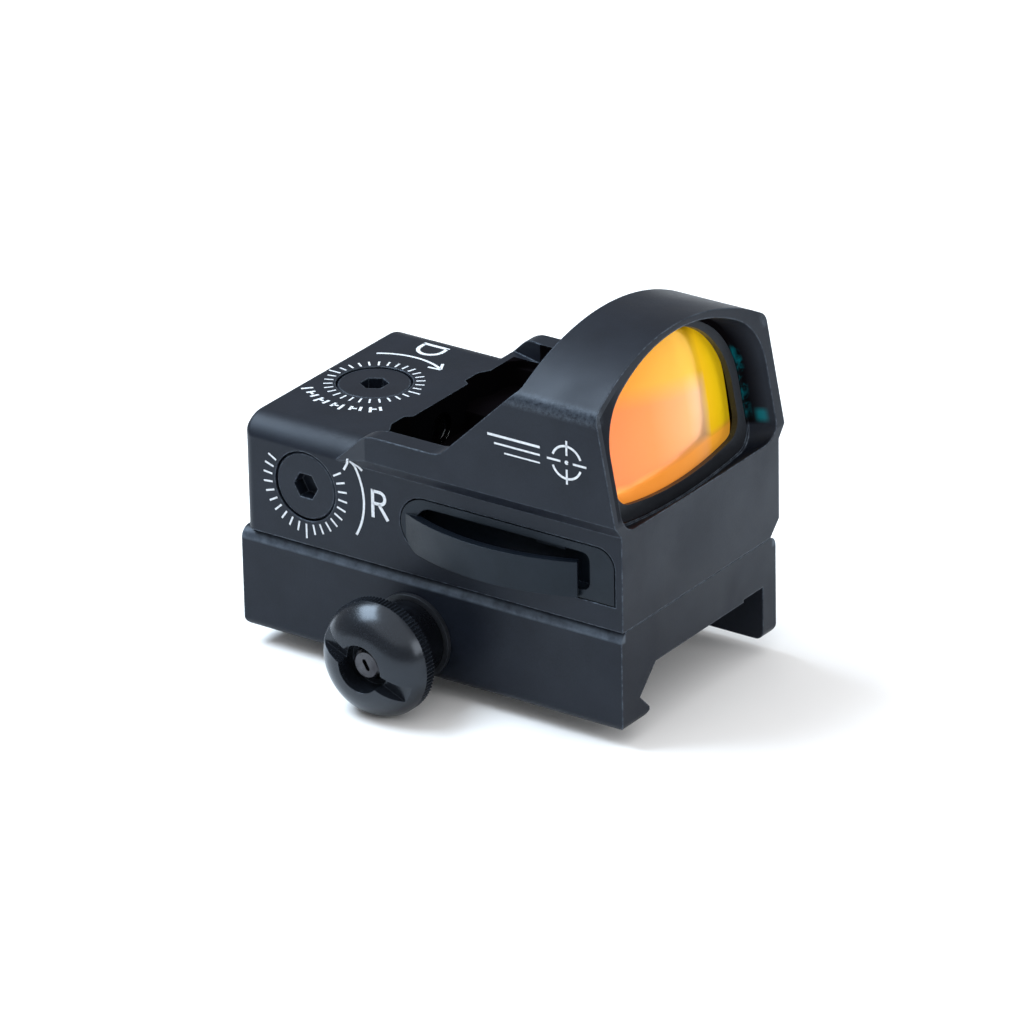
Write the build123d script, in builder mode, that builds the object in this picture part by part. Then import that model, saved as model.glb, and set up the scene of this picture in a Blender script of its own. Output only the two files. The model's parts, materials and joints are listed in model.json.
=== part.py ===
from build123d import *
import math
import os

# Micro reflex sight on a rail mount, in millimetres.
# +X is the shooter's right (battery drawer, clamp knob and windage dial),
# +Y points at the target and +Z is up. The origin is the middle of the rail seat.

os.makedirs("parts", exist_ok=True)

FIT = 0.05                     # radial clearance of shafts that turn or slide

# ---------------------------------------------------------------- rail mount
MOUNT_LENGTH = 47.0
MOUNT_HALF_WIDTH = 14.0
MOUNT_BOTTOM = -5.74
MOUNT_TOP = 5.3
SEAT_HALF_WIDTH = 8.0          # flat that lies on top of the rail
SEAT_RELIEF = 0.3              # ceiling beside the seat stands clear of the rail
JAW_VEE_X = 10.9               # deepest point of the 45 degree vee
JAW_LIP_X = 9.2                # tip of the lip under the rail
JAW_FOOT_X = 10.1
LIP_TIP_Z = -4.6
LIP_THICK = 0.4
FOOT_EDGE = 1.0
FAR_LEG_INNER_X = -11.6
MOUNT_EDGE = 1.2
MOUNT_END_EDGE = 1.0

# ---------------------------------------------------------------- cross bolt and knob
BOLT_Y = -2.0
BOLT_Z = -1.35
BOLT_R = 2.0
BOLT_HEAD_ACROSS = 6.0
BOLT_HEAD_INNER_X = -11.8
BOLT_STEP_X = 19.4
BOLT_TIP_R = 1.6
BOLT_TIP_X = 22.3
BOLT_TIP_EDGE = 0.25
BOLT_HEAD_SINK = 0.2           # the head lies this far inside the jaw's face
STAKE_LENGTH = 1.3
STAKE_WIDTH = 0.45
STAKE_DEPTH = 0.5
STAKE_ANGLE = -60.0
LUG_SLOT_HALF = 2.6            # half length of the slot in the seat around the bolt
LUG_SLOT_TOP = 1.0
JAW_LENGTH = 25.0
JAW_GAP = 0.3
JAW_OUTER_X = -13.8
JAW_TOP = 3.3
JAW_LIFT = 0.1                 # the jaw stops this far above the mount's foot
JAW_EDGE = 0.8
POCKET_INNER_X = -10.2
PIN_R = 0.8
PIN_FIT = 0.03
PIN_Z = 1.9
PIN_SPREAD = 9.0
PIN_TIP_X = -4.6
PIN_START_X = -12.8
PIN_END_SPACE = 0.6
PIN_EDGE = 0.2
SPRING_SPREAD = 5.4
SPRING_BORE_R = 1.25
SPRING_R = 0.9
SPRING_WIRE_R = 0.2
SPRING_SEAT_X = -5.2
SPRING_TURNS = 6
WASHER_R = 4.6
WASHER_INNER_R = 2.3
WASHER_THICK = 0.5
KNOB_START_X = 14.6
KNOB_NECK_R = 4.1
KNOB_RING_X = 19.2
KNOB_RING_R = 6.25
KNOB_DOME_X = 20.5
KNOB_DOME_MID_X = 22.65
KNOB_DOME_MID_R = 4.85
KNOB_TOP_X = 23.5
KNOB_MOUTH_R = 2.6
KNOB_MOUTH_X = 20.9
KNOB_TEETH = 96
KNOB_TOOTH_DEPTH = 0.18
SLOT_WIDTH = 1.9
SLOT_FLOOR_X = 22.0
SLOT_ANGLE = -24.0

# ---------------------------------------------------------------- sight body
BODY_BOTTOM = 5.56
BODY_FRONT = 23.8
BODY_REAR = -22.8
BODY_HALF_WIDTH = 14.2
DECK_Z = 18.0
DECK_HALF_WIDTH = 11.2
SHOULDER_Z = 16.07
SHOULDER_R = 3.3
SHOULDER_MID_DEG = 33.0        # a point on the shoulder's arc, measured from the vertical
HOOD_HALF_WIDTH = 15.3
HOOD_UNDER_Z = 15.96
HOOD_SIDE_Z = 17.36
HOOD_TOP_Z = 33.06
HOOD_ARCH_R = 29.5
HOOD_CORNER_R = 1.3
WALL_RAMP_START = -11.0
WALL_RAMP_END = -6.6
RAMP_TOP_R = 3.0
SILL_Z = 20.16
SILL_END = 2.5
HOOD_REAR = 12.1
HOOD_REAR_Z = 29.36
SILL_CORNER_R = 2.5
LEAN_DEG = 10.8                # the window leans back from this height up
LEAN_Z = 17.26
CAVITY_FLOOR = 15.2
CAVITY_REAR = -8.0
CAVITY_HALF_WIDTH = 13.0
CAVITY_STEP = 0.6              # the cavity is this much narrower below this height
CAVITY_STEP_Z = 17.16
CAVITY_WIDE_REAR = -7.4
CAVITY_CORNER_R = 1.4
DECK_OPEN_REAR = -10.0
DECK_OPEN_FRONT = -4.6         # behind this the walls stand clear of the deck on their outside
DECK_OPEN_HALF_WIDTH = 14.6
BAND_CHAMFER = 1.6
BAND_REAR_EDGE = 1.2
BAND_TOP_EDGE = 0.6
SLOPE_TOP_EDGE = 0.8
TONGUE_HALF = 4.8
NOTCH_OUTER = 7.6
NOTCH_END = 9.0
NOTCH_DEPTH = 0.8
NOTCH_CORNER_R = 0.4
NOTCH_OUTER_R = 0.9
WELL_FLOOR = 13.2
WELL_FRONT = -3.4
WELL_HALF_WIDTH = 4.2

# ---------------------------------------------------------------- window and lens
# each outline is drawn on a leaning plane whose origin is the height LEAN_Z
MOUTH_FRONT = {
    "half_width": 14.0, "bottom": -1.0, "sag": 0,
    "spring": 7.0, "apex": 15.45, "side_r": 6.5, "corner_r": 2.0,
}
MOUTH_REAR = {
    "half_width": 12.6, "bottom": -2.25, "sag": 1.0,
    "spring": 6.0, "apex": 16.0, "side_r": 8.5, "corner_r": 2.6,
}
LENS_SEAT = {
    "half_width": 12.35, "bottom": -2.0, "sag": 1.0,
    "spring": 6.0, "apex": 15.8, "side_r": 8.5, "corner_r": 2.6,
}
LENS_EDGE = {
    "half_width": 12.2, "bottom": -1.9, "sag": 1.0,
    "spring": 6.0, "apex": 15.7, "side_r": 8.5, "corner_r": 2.6,
}
LENS_CLEAR = {
    "half_width": 11.05, "bottom": -0.6, "sag": 1.3,
    "spring": 5.5, "apex": 14.95, "side_r": 9.0, "corner_r": 2.4,
}
LIGHT_WAY = {
    "half_width": 10.3, "bottom": 0.1, "sag": 1.2,
    "spring": 5.5, "apex": 14.3, "side_r": 8.3, "corner_r": 2.0,
}
MOUTH_START = 0.02             # the mouth's cut starts this far outside the front face
WINDOW_DEPTH = 2.5             # the mouth narrows to the lens seat over this depth
LENS_DEPTH = 3.2
LENS_THICK = 3.0
LENS_CURVE_R = 70.0
LENS_MIDDLE = 6.5
WINDOW_SEAT_R = 1.7
WINDOW_SEAT_DEPTH = 0.8
EMITTER_HOLE_R = 1.3

# ---------------------------------------------------------------- electronics bay
BAY_HALF_WIDTH = 10.0
BAY_REAR = -17.4
BAY_FRONT = -6.0
BAY_DIAL_TOP = 14.8
BAY_LED_REAR = -12.9
BAY_LED_FRONT = -9.4
BAY_LED_TOP = 16.2
LED_Z = 14.8
LED_BAY_WIDTH = 8.0
GUIDE_SLOT_HALF = 1.75
GUIDE_SLOT_REAR = -18.4
PLATE_HALF_WIDTH = 12.2
PLATE_REAR = -18.2
PLATE_FRONT = -4.8
PLATE_THICK = 1.0
PLATE_TAB_REAR = -19.2
PLATE_TAB_HALF = 2.6
PLATE_GAP = 0.1

# ---------------------------------------------------------------- adjusting dials
WINDAGE_Y = -15.0
WINDAGE_Z = 12.06
ELEVATION_Y = -16.4
DIAL_GAP = 0.1
WINDAGE_R = 3.7
ELEVATION_R = 3.9
DIAL_THICK = 0.9
DIAL_INSET = 0.1
DIAL_FLOOR_GAP = 0.1
HUB_R = 2.3
HUB_LENGTH = 0.8
SHAFT_R = 1.5
SCREW_R = 1.0
SOCKET_ACROSS = 2.6
SOCKET_DEPTH = 1.5
CLIP_R = 2.1
CLIP_GROOVE_R = 1.2
CLIP_THICK = 0.4
CLIP_SPACE = 0.2
CLIP_MOUTH = 1.6
CLIP_BRIDGE = 0.7
DIAL_EDGE = 0.2
WINDAGE_SCREW_END = 3.6
ELEVATION_SCREW_END = 12.5
ORING_R = 1.85
ORING_WIRE_R = 0.3
ORING_GROOVE_R = 2.2
DETENT_R = 0.5
DETENT_OFFSET = 3.0
DETENT_DEPTH = 1.9
DETENT_BALL_R = 0.45
DETENT_SPRING_R = 0.28
DETENT_WIRE_R = 0.09
DETENT_SPRING_TURNS = 2
DETENT_SPRING_START = 1.8      # depths of the spring's two ends in the blind hole
DETENT_SPRING_STOP = 1.05
GUIDE_ROD_R = 0.75
GUIDE_ROD_Y = -11.7
GUIDE_ROD_Z = 8.3
GUIDE_ROD_END = 11.2

# ---------------------------------------------------------------- emitter mechanism
SLIDER_BOTTOM = 7.1
SLIDER_TOP = 10.0
SLIDER_X = 0.6
SLIDER_Y = -13.85
SLIDER_LENGTH = 11.6
SLIDER_WIDTH = 6.5
LUG_X = 5.3
LUG_THICK = 2.2
LUG_WIDTH = 4.0
LUG_TOP = 13.9
CARRIAGE_Y = -15.0             # middle of the post that slides in the slider's window
POST_X = 4.0
POST_Y = 3.2
POST_BOTTOM = 7.5
SHELF_BOTTOM = 10.8
SHELF_TOP = 11.8
SHELF_X = 5.2
SHELF_REAR = -17.1
SHELF_FRONT = -12.4
FACE_X = 5.6
FACE_REAR = -12.5
FACE_FRONT = -11.3
FACE_TOP = 15.3
POST_BORE_R = 0.95
POST_BORE_TOP = 10.1
NUT_BOTTOM = 11.9
NUT_TOP = 13.4
NUT_X = 3.4
NUT_Y = 3.2
NUT_MIDDLE_Y = -16.5
LED_CHIP_Z = 14.7
LED_BASE_WIDTH = 2.0
LED_BASE_HEIGHT = 1.25
LED_BASE_THICK = 0.35
LED_CAP_WIDTH = 1.2
LED_CAP_HEIGHT = 1.0
LED_CAP_THICK = 0.4
CARRIAGE_SPRING_START = 6.95
CARRIAGE_SPRING_LENGTH = 2.9
CARRIAGE_SPRING_R = 0.65
CARRIAGE_WIRE_R = 0.15
CARRIAGE_SPRING_TURNS = 6
SLIDER_SPRING_START = 6.7
SLIDER_SPRING_LENGTH = 2.3
SLIDER_SPRING_R = 2.0
SLIDER_WIRE_R = 0.2
SLIDER_SPRING_TURNS = 3

# ---------------------------------------------------------------- battery drawer
DRAWER_REAR = -3.1
DRAWER_FRONT = 22.8
DRAWER_BOTTOM = 8.26
DRAWER_TOP = 14.16
DRAWER_GAP = 0.15
DRAWER_PLATE_X = 11.9
DRAWER_CORNER_R = 2.0
TRAY_INNER_X = -9.4
TRAY_HALF = 11.0
TRAY_CLEAR = 0.3
TRAY_CORNER_R = 4.0
CELL_R = 10.0
CELL_THICK = 3.2
CELL_X = 1.0
CELL_BOTTOM = 9.5
CELL_GAP = 0.15
CELL_RIM = 1.2
CELL_STEP = 0.5
CELL_EDGE = 0.3
TRAY_FLOOR = 8.95
TRAY_TOP = 12.45
LEAF_WAY_LENGTH = 15.0         # opening in the tray's floor for the lower contact
LEAF_WAY_WIDTH = 5.4
LEAF_WAY_X = -2.9
POCKET_REAR = -1.2
POCKET_FRONT = 19.9
POCKET_BOTTOM = 9.2
POCKET_TOP = 13.3
POCKET_FLOOR_X = 12.7
POCKET_REAR_R = 1.9
POCKET_FRONT_R = 0.9
PULL_REAR = -2.4
PULL_FRONT = 18.5
PULL_BOTTOM = 8.36
PULL_TOP = 12.2
PULL_THICK = 0.9
PULL_BULGE = 2.5
PULL_ROOT_X = 13.75
PULL_TIP_X = 14.2
RIB_Y = 15.0
RIB_LENGTH = 3.4
RIB_HEIGHT = 0.5
RIB_STAND = 1.1
SEAL_THICK = 0.45
SEAL_OUTSIDE = -0.05           # the seal's outline, inside the drawer's outline
SEAL_INSIDE = -0.45

TRAY_BAY_FLOOR = 8.4
TRAY_BAY_TOP = 14.0
LEAF_WIDTH = 2.0
LEAF_THICK = 0.2
PLUS_X = -6.5
PLUS_Z = 13.2
MINUS_X = -2.5
LEAF_SLOT_SPACE = 0.4
LEAF_SLOT_RUN = 4.0            # the slots run this much past the wall between the bays
PLUS_SLOT_HALF = 0.3
MINUS_SLOT_DEPTH = 0.5
PLUS_REAR = -10.6
PLUS_BEND = 4.0
PLUS_TOUCH = 7.85              # where the upper leaf presses on the cell
PLUS_FRONT = 10.2
MINUS_REAR = -6.8
MINUS_BEND = 7.6
MINUS_FRONT = 11.6

DRAWER_Y = (DRAWER_REAR + DRAWER_FRONT) / 2
DRAWER_Z = (DRAWER_BOTTOM + DRAWER_TOP) / 2
DRAWER_HEIGHT = DRAWER_TOP - DRAWER_BOTTOM

# ---------------------------------------------------------------- power button
BUTTON_Y = -12.0
BUTTON_Z = 11.3
BUTTON_R = 3.2
BUTTON_STAND = 0.7
BUTTON_STEM_R = 1.5
BUTTON_BORE_DEPTH = 2.4
BUTTON_SKIRT_DEPTH = 1.9
BUTTON_STEM_END = -10.35
BUTTON_EDGE = 0.5
BOARD_X = -8.9
BOARD_THICK = 0.8
BOARD_Y = -13.2
BOARD_Z = 11.85
BOARD_LENGTH = 7.0
BOARD_HEIGHT = 5.1
CHIP_THICK = 0.8
CHIP_Y = -11.9
CHIP_Z = 12.2
CHIP_LENGTH = 3.0
CHIP_HEIGHT = 2.6
SMALL_CHIP_Y = -15.2
SMALL_CHIP_LENGTH = 1.6
SMALL_CHIP_HEIGHT = 0.8
SMALL_CHIP_SPREAD = 0.8
SWITCH_SIZE = 3.6
SWITCH_HEIGHT = 0.7
SWITCH_PAD_R = 1.0
SWITCH_PAD_HEIGHT = 0.25

# ---------------------------------------------------------------- screws, gasket and plate
FASTENER_X = 5.2
FASTENER_FRONT_Y = 18.5
FASTENER_REAR_Y = -20.0
FASTENER_HEAD_R = 2.3
FASTENER_R = 1.25
FASTENER_HEAD_TOP = 2.4
FASTENER_HEAD_BOTTOM = 0.4
FASTENER_GAP = 0.15
FASTENER_END = 7.76
FASTENER_HOLE_DEPTH = 2.4
KEY_HALF = 1.0
KEY_DEPTH = 1.1
GASKET_INSET = 1.3
GASKET_CORNER_R = 1.5
GASKET_LAP = 0.5               # the gasket covers this much of the bottom plate's edge
PLATE_CORNER_R = 0.6
PLATE_SCREW_X = 11.1
PLATE_SCREW_INSET = 1.2
PLATE_SCREW_R = 0.7
PLATE_SCREW_END = 8.2
PLATE_HEAD_R = 1.05
PLATE_HEAD_HEIGHT = 0.44
PLATE_HEAD_SPACE = 0.5
PLATE_KEY_HALF = 0.5
PLATE_KEY_DEPTH = 0.3

# ---------------------------------------------------------------- places that several pieces share
WINDAGE_TOP = BODY_HALF_WIDTH - DIAL_INSET
WINDAGE_BASE = WINDAGE_TOP - DIAL_THICK
WINDAGE_HUB_END = WINDAGE_BASE - HUB_LENGTH
WINDAGE_CLIP_X = BAY_HALF_WIDTH - CLIP_SPACE - CLIP_THICK
WINDAGE_SHAFT_END = WINDAGE_CLIP_X - CLIP_SPACE
WINDAGE_RING_X = (WINDAGE_HUB_END + BAY_HALF_WIDTH) / 2
ELEVATION_TOP = DECK_Z - DIAL_INSET
ELEVATION_BASE = ELEVATION_TOP - DIAL_THICK
ELEVATION_HUB_END = ELEVATION_BASE - HUB_LENGTH
ELEVATION_CLIP_Z = BAY_DIAL_TOP - CLIP_SPACE - CLIP_THICK
ELEVATION_SHAFT_END = ELEVATION_CLIP_Z - CLIP_SPACE
ELEVATION_RING_Z = (ELEVATION_HUB_END + BAY_DIAL_TOP) / 2
BUTTON_RING_X = -10.9
JAW_FRONT = BOLT_Y + JAW_LENGTH / 2
JAW_STEP_X = POCKET_INNER_X - JAW_GAP
JAW_BOTTOM = MOUNT_BOTTOM + JAW_LIFT
PLATE_BOTTOM = BODY_BOTTOM + PLATE_GAP
PLATE_Y = (PLATE_REAR + PLATE_FRONT) / 2
CELL_TOP = CELL_BOTTOM + CELL_THICK
PIN_PLACES = [(BOLT_Y - PIN_SPREAD, PIN_Z), (BOLT_Y + PIN_SPREAD, PIN_Z)]
SPRING_PLACES = [(BOLT_Y - SPRING_SPREAD, PIN_Z), (BOLT_Y + SPRING_SPREAD, PIN_Z)]
FASTENER_PLACES = [
    (x, y) for x in (-FASTENER_X, FASTENER_X) for y in (FASTENER_REAR_Y, FASTENER_FRONT_Y)
]
PLATE_SCREW_PLACES = [
    (x, y)
    for x in (-PLATE_SCREW_X, PLATE_SCREW_X)
    for y in (PLATE_REAR + PLATE_SCREW_INSET, PLATE_FRONT - PLATE_SCREW_INSET)
]

front_plane = Plane(
    origin=(0, BODY_FRONT, LEAN_Z),
    x_dir=(-1, 0, 0),
    z_dir=(0, math.cos(math.radians(LEAN_DEG)), math.sin(math.radians(LEAN_DEG))),
)


def dome_sketch(plane, half_width, bottom, sag, spring, apex, side_r, corner_r):
    """Window shape on a leaning plane.

    The bottom sags, the sides are upright up to the height called spring, and two side arcs
    run smoothly into a flatter top arc. The two lower corners are rounded.
    """
    side_x = half_width - side_r
    rise = apex - spring
    top_r = (side_x**2 + rise**2 - side_r**2) / (2 * (rise - side_r))
    top_z = apex - top_r
    lean = math.atan2(spring - top_z, side_x)
    joint_x = side_x + side_r * math.cos(lean)
    joint_z = spring + side_r * math.sin(lean)
    mid_x = side_x + side_r * math.cos(lean / 2)
    mid_z = spring + side_r * math.sin(lean / 2)
    corner_z = bottom + sag
    with BuildSketch(plane) as outline:
        with BuildLine():
            if sag > 0:
                ThreePointArc((-half_width, corner_z), (0, bottom), (half_width, corner_z))
            else:
                Line((-half_width, corner_z), (half_width, corner_z))
            Line((half_width, corner_z), (half_width, spring))
            ThreePointArc((half_width, spring), (mid_x, mid_z), (joint_x, joint_z))
            ThreePointArc((joint_x, joint_z), (0, apex), (-joint_x, joint_z))
            ThreePointArc((-joint_x, joint_z), (-mid_x, mid_z), (-half_width, spring))
            Line((-half_width, spring), (-half_width, corner_z))
        make_face()
        fillet(outline.vertices().group_by(Axis.Y)[0], corner_r)
    return outline.sketch


def drawer_sketch(x, grow):
    """Drawer outline on a plane across X: round rear end, small corners at the front end."""
    height = DRAWER_HEIGHT + 2 * grow
    end_r = height / 2
    rear = DRAWER_REAR - grow
    front = DRAWER_FRONT + grow
    with BuildSketch(Plane.YZ.offset(x)) as outline:
        with Locations((rear + end_r, DRAWER_Z)):
            Circle(end_r)
        with Locations(((rear + end_r + front) / 2, DRAWER_Z)):
            Rectangle(front - rear - end_r, height)
        corners = outline.vertices().group_by(Axis.Y)[-1]
        fillet(corners, DRAWER_CORNER_R + grow)
    return outline.sketch


def coil(plane, radius, wire_r, length, turns):
    """Round wire spring that starts at the plane's origin and runs along its normal."""
    with BuildPart() as spring:
        with BuildLine():
            path = Helix(pitch=length / turns, height=length, radius=radius)
        with BuildSketch(Plane(origin=path @ 0, z_dir=path % 0)):
            Circle(wire_r)
        sweep(path=path, is_frenet=True)
    return plane.location * spring.part


# ================================================================ rail mount
with BuildPart() as rail_mount:
    with BuildSketch(Plane.XZ) as mount_profile:
        with BuildLine():
            Polyline(
                (-MOUNT_HALF_WIDTH, MOUNT_BOTTOM),
                (FAR_LEG_INNER_X, MOUNT_BOTTOM),
                (FAR_LEG_INNER_X, SEAT_RELIEF),
                (-SEAT_HALF_WIDTH, SEAT_RELIEF),
                (-SEAT_HALF_WIDTH, 0),
                (SEAT_HALF_WIDTH, 0),
                (JAW_VEE_X, SEAT_HALF_WIDTH - JAW_VEE_X),
                (JAW_LIP_X, LIP_TIP_Z),
                (JAW_LIP_X, LIP_TIP_Z - LIP_THICK),
                (JAW_FOOT_X, MOUNT_BOTTOM),
                (MOUNT_HALF_WIDTH, MOUNT_BOTTOM),
                (MOUNT_HALF_WIDTH, MOUNT_TOP),
                (-MOUNT_HALF_WIDTH, MOUNT_TOP),
                close=True,
            )
        make_face()
        top_corners = mount_profile.vertices().group_by(Axis.Y)[-1]
        fillet(top_corners, MOUNT_EDGE)
        foot_corners = mount_profile.vertices().group_by(Axis.Y)[0]
        fillet(foot_corners.sort_by(Axis.X)[0], FOOT_EDGE)
        foot_corners = mount_profile.vertices().group_by(Axis.Y)[0]
        fillet(foot_corners.sort_by(Axis.X)[-1], FOOT_EDGE)
    extrude(amount=MOUNT_LENGTH / 2, both=True)
    # the two ends have rounded lower corners, seen from the side
    with BuildSketch(Plane.YZ) as side_outline:
        with Locations((0, (MOUNT_BOTTOM + MOUNT_TOP) / 2)):
            Rectangle(MOUNT_LENGTH, MOUNT_TOP - MOUNT_BOTTOM)
        fillet(side_outline.vertices().group_by(Axis.Y)[0], MOUNT_END_EDGE)
    extrude(amount=MOUNT_HALF_WIDTH + 1, both=True, mode=Mode.INTERSECT)
    # slot in the seat that clears the cross bolt
    with BuildSketch(Plane.XY):
        with Locations(((SEAT_HALF_WIDTH + POCKET_INNER_X) / 2, BOLT_Y)):
            Rectangle(SEAT_HALF_WIDTH - POCKET_INNER_X, 2 * LUG_SLOT_HALF)
    extrude(amount=LUG_SLOT_TOP, mode=Mode.SUBTRACT)
    # bolt hole through the fixed jaw
    with BuildSketch(Plane.YZ.offset(SEAT_HALF_WIDTH - 1)):
        with Locations((BOLT_Y, BOLT_Z)):
            Circle(BOLT_R + FIT)
    extrude(amount=MOUNT_HALF_WIDTH, mode=Mode.SUBTRACT)
    # pocket for the moving jaw in the far leg
    with BuildSketch(Plane.YZ.offset(POCKET_INNER_X)):
        with Locations((BOLT_Y, (MOUNT_BOTTOM + JAW_TOP) / 2)):
            Rectangle(JAW_LENGTH + 2 * JAW_GAP, JAW_TOP - MOUNT_BOTTOM + 2 * JAW_GAP)
    extrude(amount=-MOUNT_HALF_WIDTH, mode=Mode.SUBTRACT)
    # guide pin holes and return spring holes
    with BuildSketch(Plane.YZ.offset(POCKET_INNER_X - 1)):
        with Locations(*PIN_PLACES):
            Circle(PIN_R + PIN_FIT)
    extrude(amount=PIN_TIP_X + PIN_END_SPACE - POCKET_INNER_X + 1, mode=Mode.SUBTRACT)
    with BuildSketch(Plane.YZ.offset(POCKET_INNER_X - 1)):
        with Locations(*SPRING_PLACES):
            Circle(SPRING_BORE_R)
    extrude(amount=SPRING_SEAT_X - POCKET_INNER_X + 1, mode=Mode.SUBTRACT)
    # screws that hold the sight enter from the seat
    with BuildSketch(Plane.XY):
        with Locations(*FASTENER_PLACES):
            Circle(FASTENER_HEAD_R + FASTENER_GAP)
    extrude(amount=FASTENER_HEAD_TOP, mode=Mode.SUBTRACT)
    with BuildSketch(Plane.XY):
        with Locations(*FASTENER_PLACES):
            Circle(FASTENER_R + FASTENER_GAP)
    extrude(amount=MOUNT_TOP + 1, mode=Mode.SUBTRACT)
rail_mount.part.label = "rail_mount"
export_step(rail_mount.part, "parts/rail_mount.step")

# ================================================================ moving jaw, bolt and knob
with BuildPart() as clamp_jaw:
    with BuildSketch(Plane.XZ.offset(-JAW_FRONT)) as jaw_profile:
        with BuildLine():
            Polyline(
                (JAW_OUTER_X, JAW_BOTTOM),
                (JAW_OUTER_X, JAW_TOP),
                (JAW_STEP_X, JAW_TOP),
                (JAW_STEP_X, JAW_STEP_X + SEAT_HALF_WIDTH),
                (-JAW_VEE_X, SEAT_HALF_WIDTH - JAW_VEE_X),
                (-JAW_LIP_X, LIP_TIP_Z),
                (-JAW_LIP_X, LIP_TIP_Z - LIP_THICK),
                (-JAW_FOOT_X, JAW_BOTTOM),
                close=True,
            )
        make_face()
        fillet(jaw_profile.vertices().group_by(Axis.X)[0], JAW_EDGE)
    extrude(amount=JAW_LENGTH)
    with BuildSketch(Plane.YZ.offset(JAW_OUTER_X)):
        with Locations((BOLT_Y, BOLT_Z)):
            RegularPolygon(BOLT_HEAD_ACROSS / 2 + FIT, 6, major_radius=False)
    extrude(amount=BOLT_HEAD_INNER_X - JAW_OUTER_X, mode=Mode.SUBTRACT)
    with BuildSketch(Plane.YZ.offset(JAW_OUTER_X)):
        with Locations((BOLT_Y, BOLT_Z)):
            Circle(BOLT_R + FIT)
    extrude(amount=JAW_LENGTH, mode=Mode.SUBTRACT)
    with BuildSketch(Plane.YZ.offset(PIN_START_X)):
        with Locations(*PIN_PLACES):
            Circle(PIN_R)
    extrude(amount=JAW_LENGTH, mode=Mode.SUBTRACT)
clamp_jaw.part.label = "clamp_jaw"
export_step(clamp_jaw.part, "parts/clamp_jaw.step")

with BuildPart() as cross_bolt:
    with BuildSketch(Plane.YZ.offset(JAW_OUTER_X + BOLT_HEAD_SINK)):
        with Locations((BOLT_Y, BOLT_Z)):
            RegularPolygon(BOLT_HEAD_ACROSS / 2, 6, major_radius=False)
    extrude(amount=BOLT_HEAD_INNER_X - JAW_OUTER_X - BOLT_HEAD_SINK)
    with BuildSketch(Plane.YZ.offset(BOLT_HEAD_INNER_X)):
        with Locations((BOLT_Y, BOLT_Z)):
            Circle(BOLT_R)
    extrude(amount=BOLT_STEP_X - BOLT_HEAD_INNER_X)
    with BuildSketch(Plane.YZ.offset(BOLT_STEP_X)):
        with Locations((BOLT_Y, BOLT_Z)):
            Circle(BOLT_TIP_R)
    extrude(amount=BOLT_TIP_X - BOLT_STEP_X)
    chamfer(cross_bolt.faces().sort_by(Axis.X)[-1].edges(), BOLT_TIP_EDGE)
    # small staking slot in the end of the bolt
    with BuildSketch(Plane.YZ.offset(BOLT_TIP_X)):
        with Locations(Location((BOLT_Y, BOLT_Z), STAKE_ANGLE)):
            SlotOverall(STAKE_LENGTH, STAKE_WIDTH)
    extrude(amount=-STAKE_DEPTH, mode=Mode.SUBTRACT)
cross_bolt.part.label = "cross_bolt"
export_step(cross_bolt.part, "parts/cross_bolt.step")

with BuildPart() as jaw_guide_pins:
    with BuildSketch(Plane.YZ.offset(PIN_START_X)):
        with Locations(*PIN_PLACES):
            Circle(PIN_R)
    extrude(amount=PIN_TIP_X - PIN_START_X)
    chamfer(jaw_guide_pins.faces().group_by(Axis.X)[-1].edges(), PIN_EDGE)
jaw_guide_pins.part.label = "jaw_guide_pins"
export_step(jaw_guide_pins.part, "parts/jaw_guide_pins.step")

jaw_springs = Compound(
    children=[
        coil(
            Plane(origin=(JAW_STEP_X + SPRING_WIRE_R, y, z), z_dir=(1, 0, 0)),
            SPRING_R,
            SPRING_WIRE_R,
            SPRING_SEAT_X - JAW_STEP_X - 2 * SPRING_WIRE_R,
            SPRING_TURNS,
        )
        for y, z in SPRING_PLACES
    ]
)
jaw_springs.label = "jaw_springs"
export_step(jaw_springs, "parts/jaw_springs.step")

with BuildPart() as knob_washer:
    with BuildSketch(Plane.YZ.offset(MOUNT_HALF_WIDTH)):
        with Locations((BOLT_Y, BOLT_Z)):
            Circle(WASHER_R)
            Circle(WASHER_INNER_R, mode=Mode.SUBTRACT)
    extrude(amount=WASHER_THICK)
knob_washer.part.label = "knob_washer"
export_step(knob_washer.part, "parts/knob_washer.step")

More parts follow.
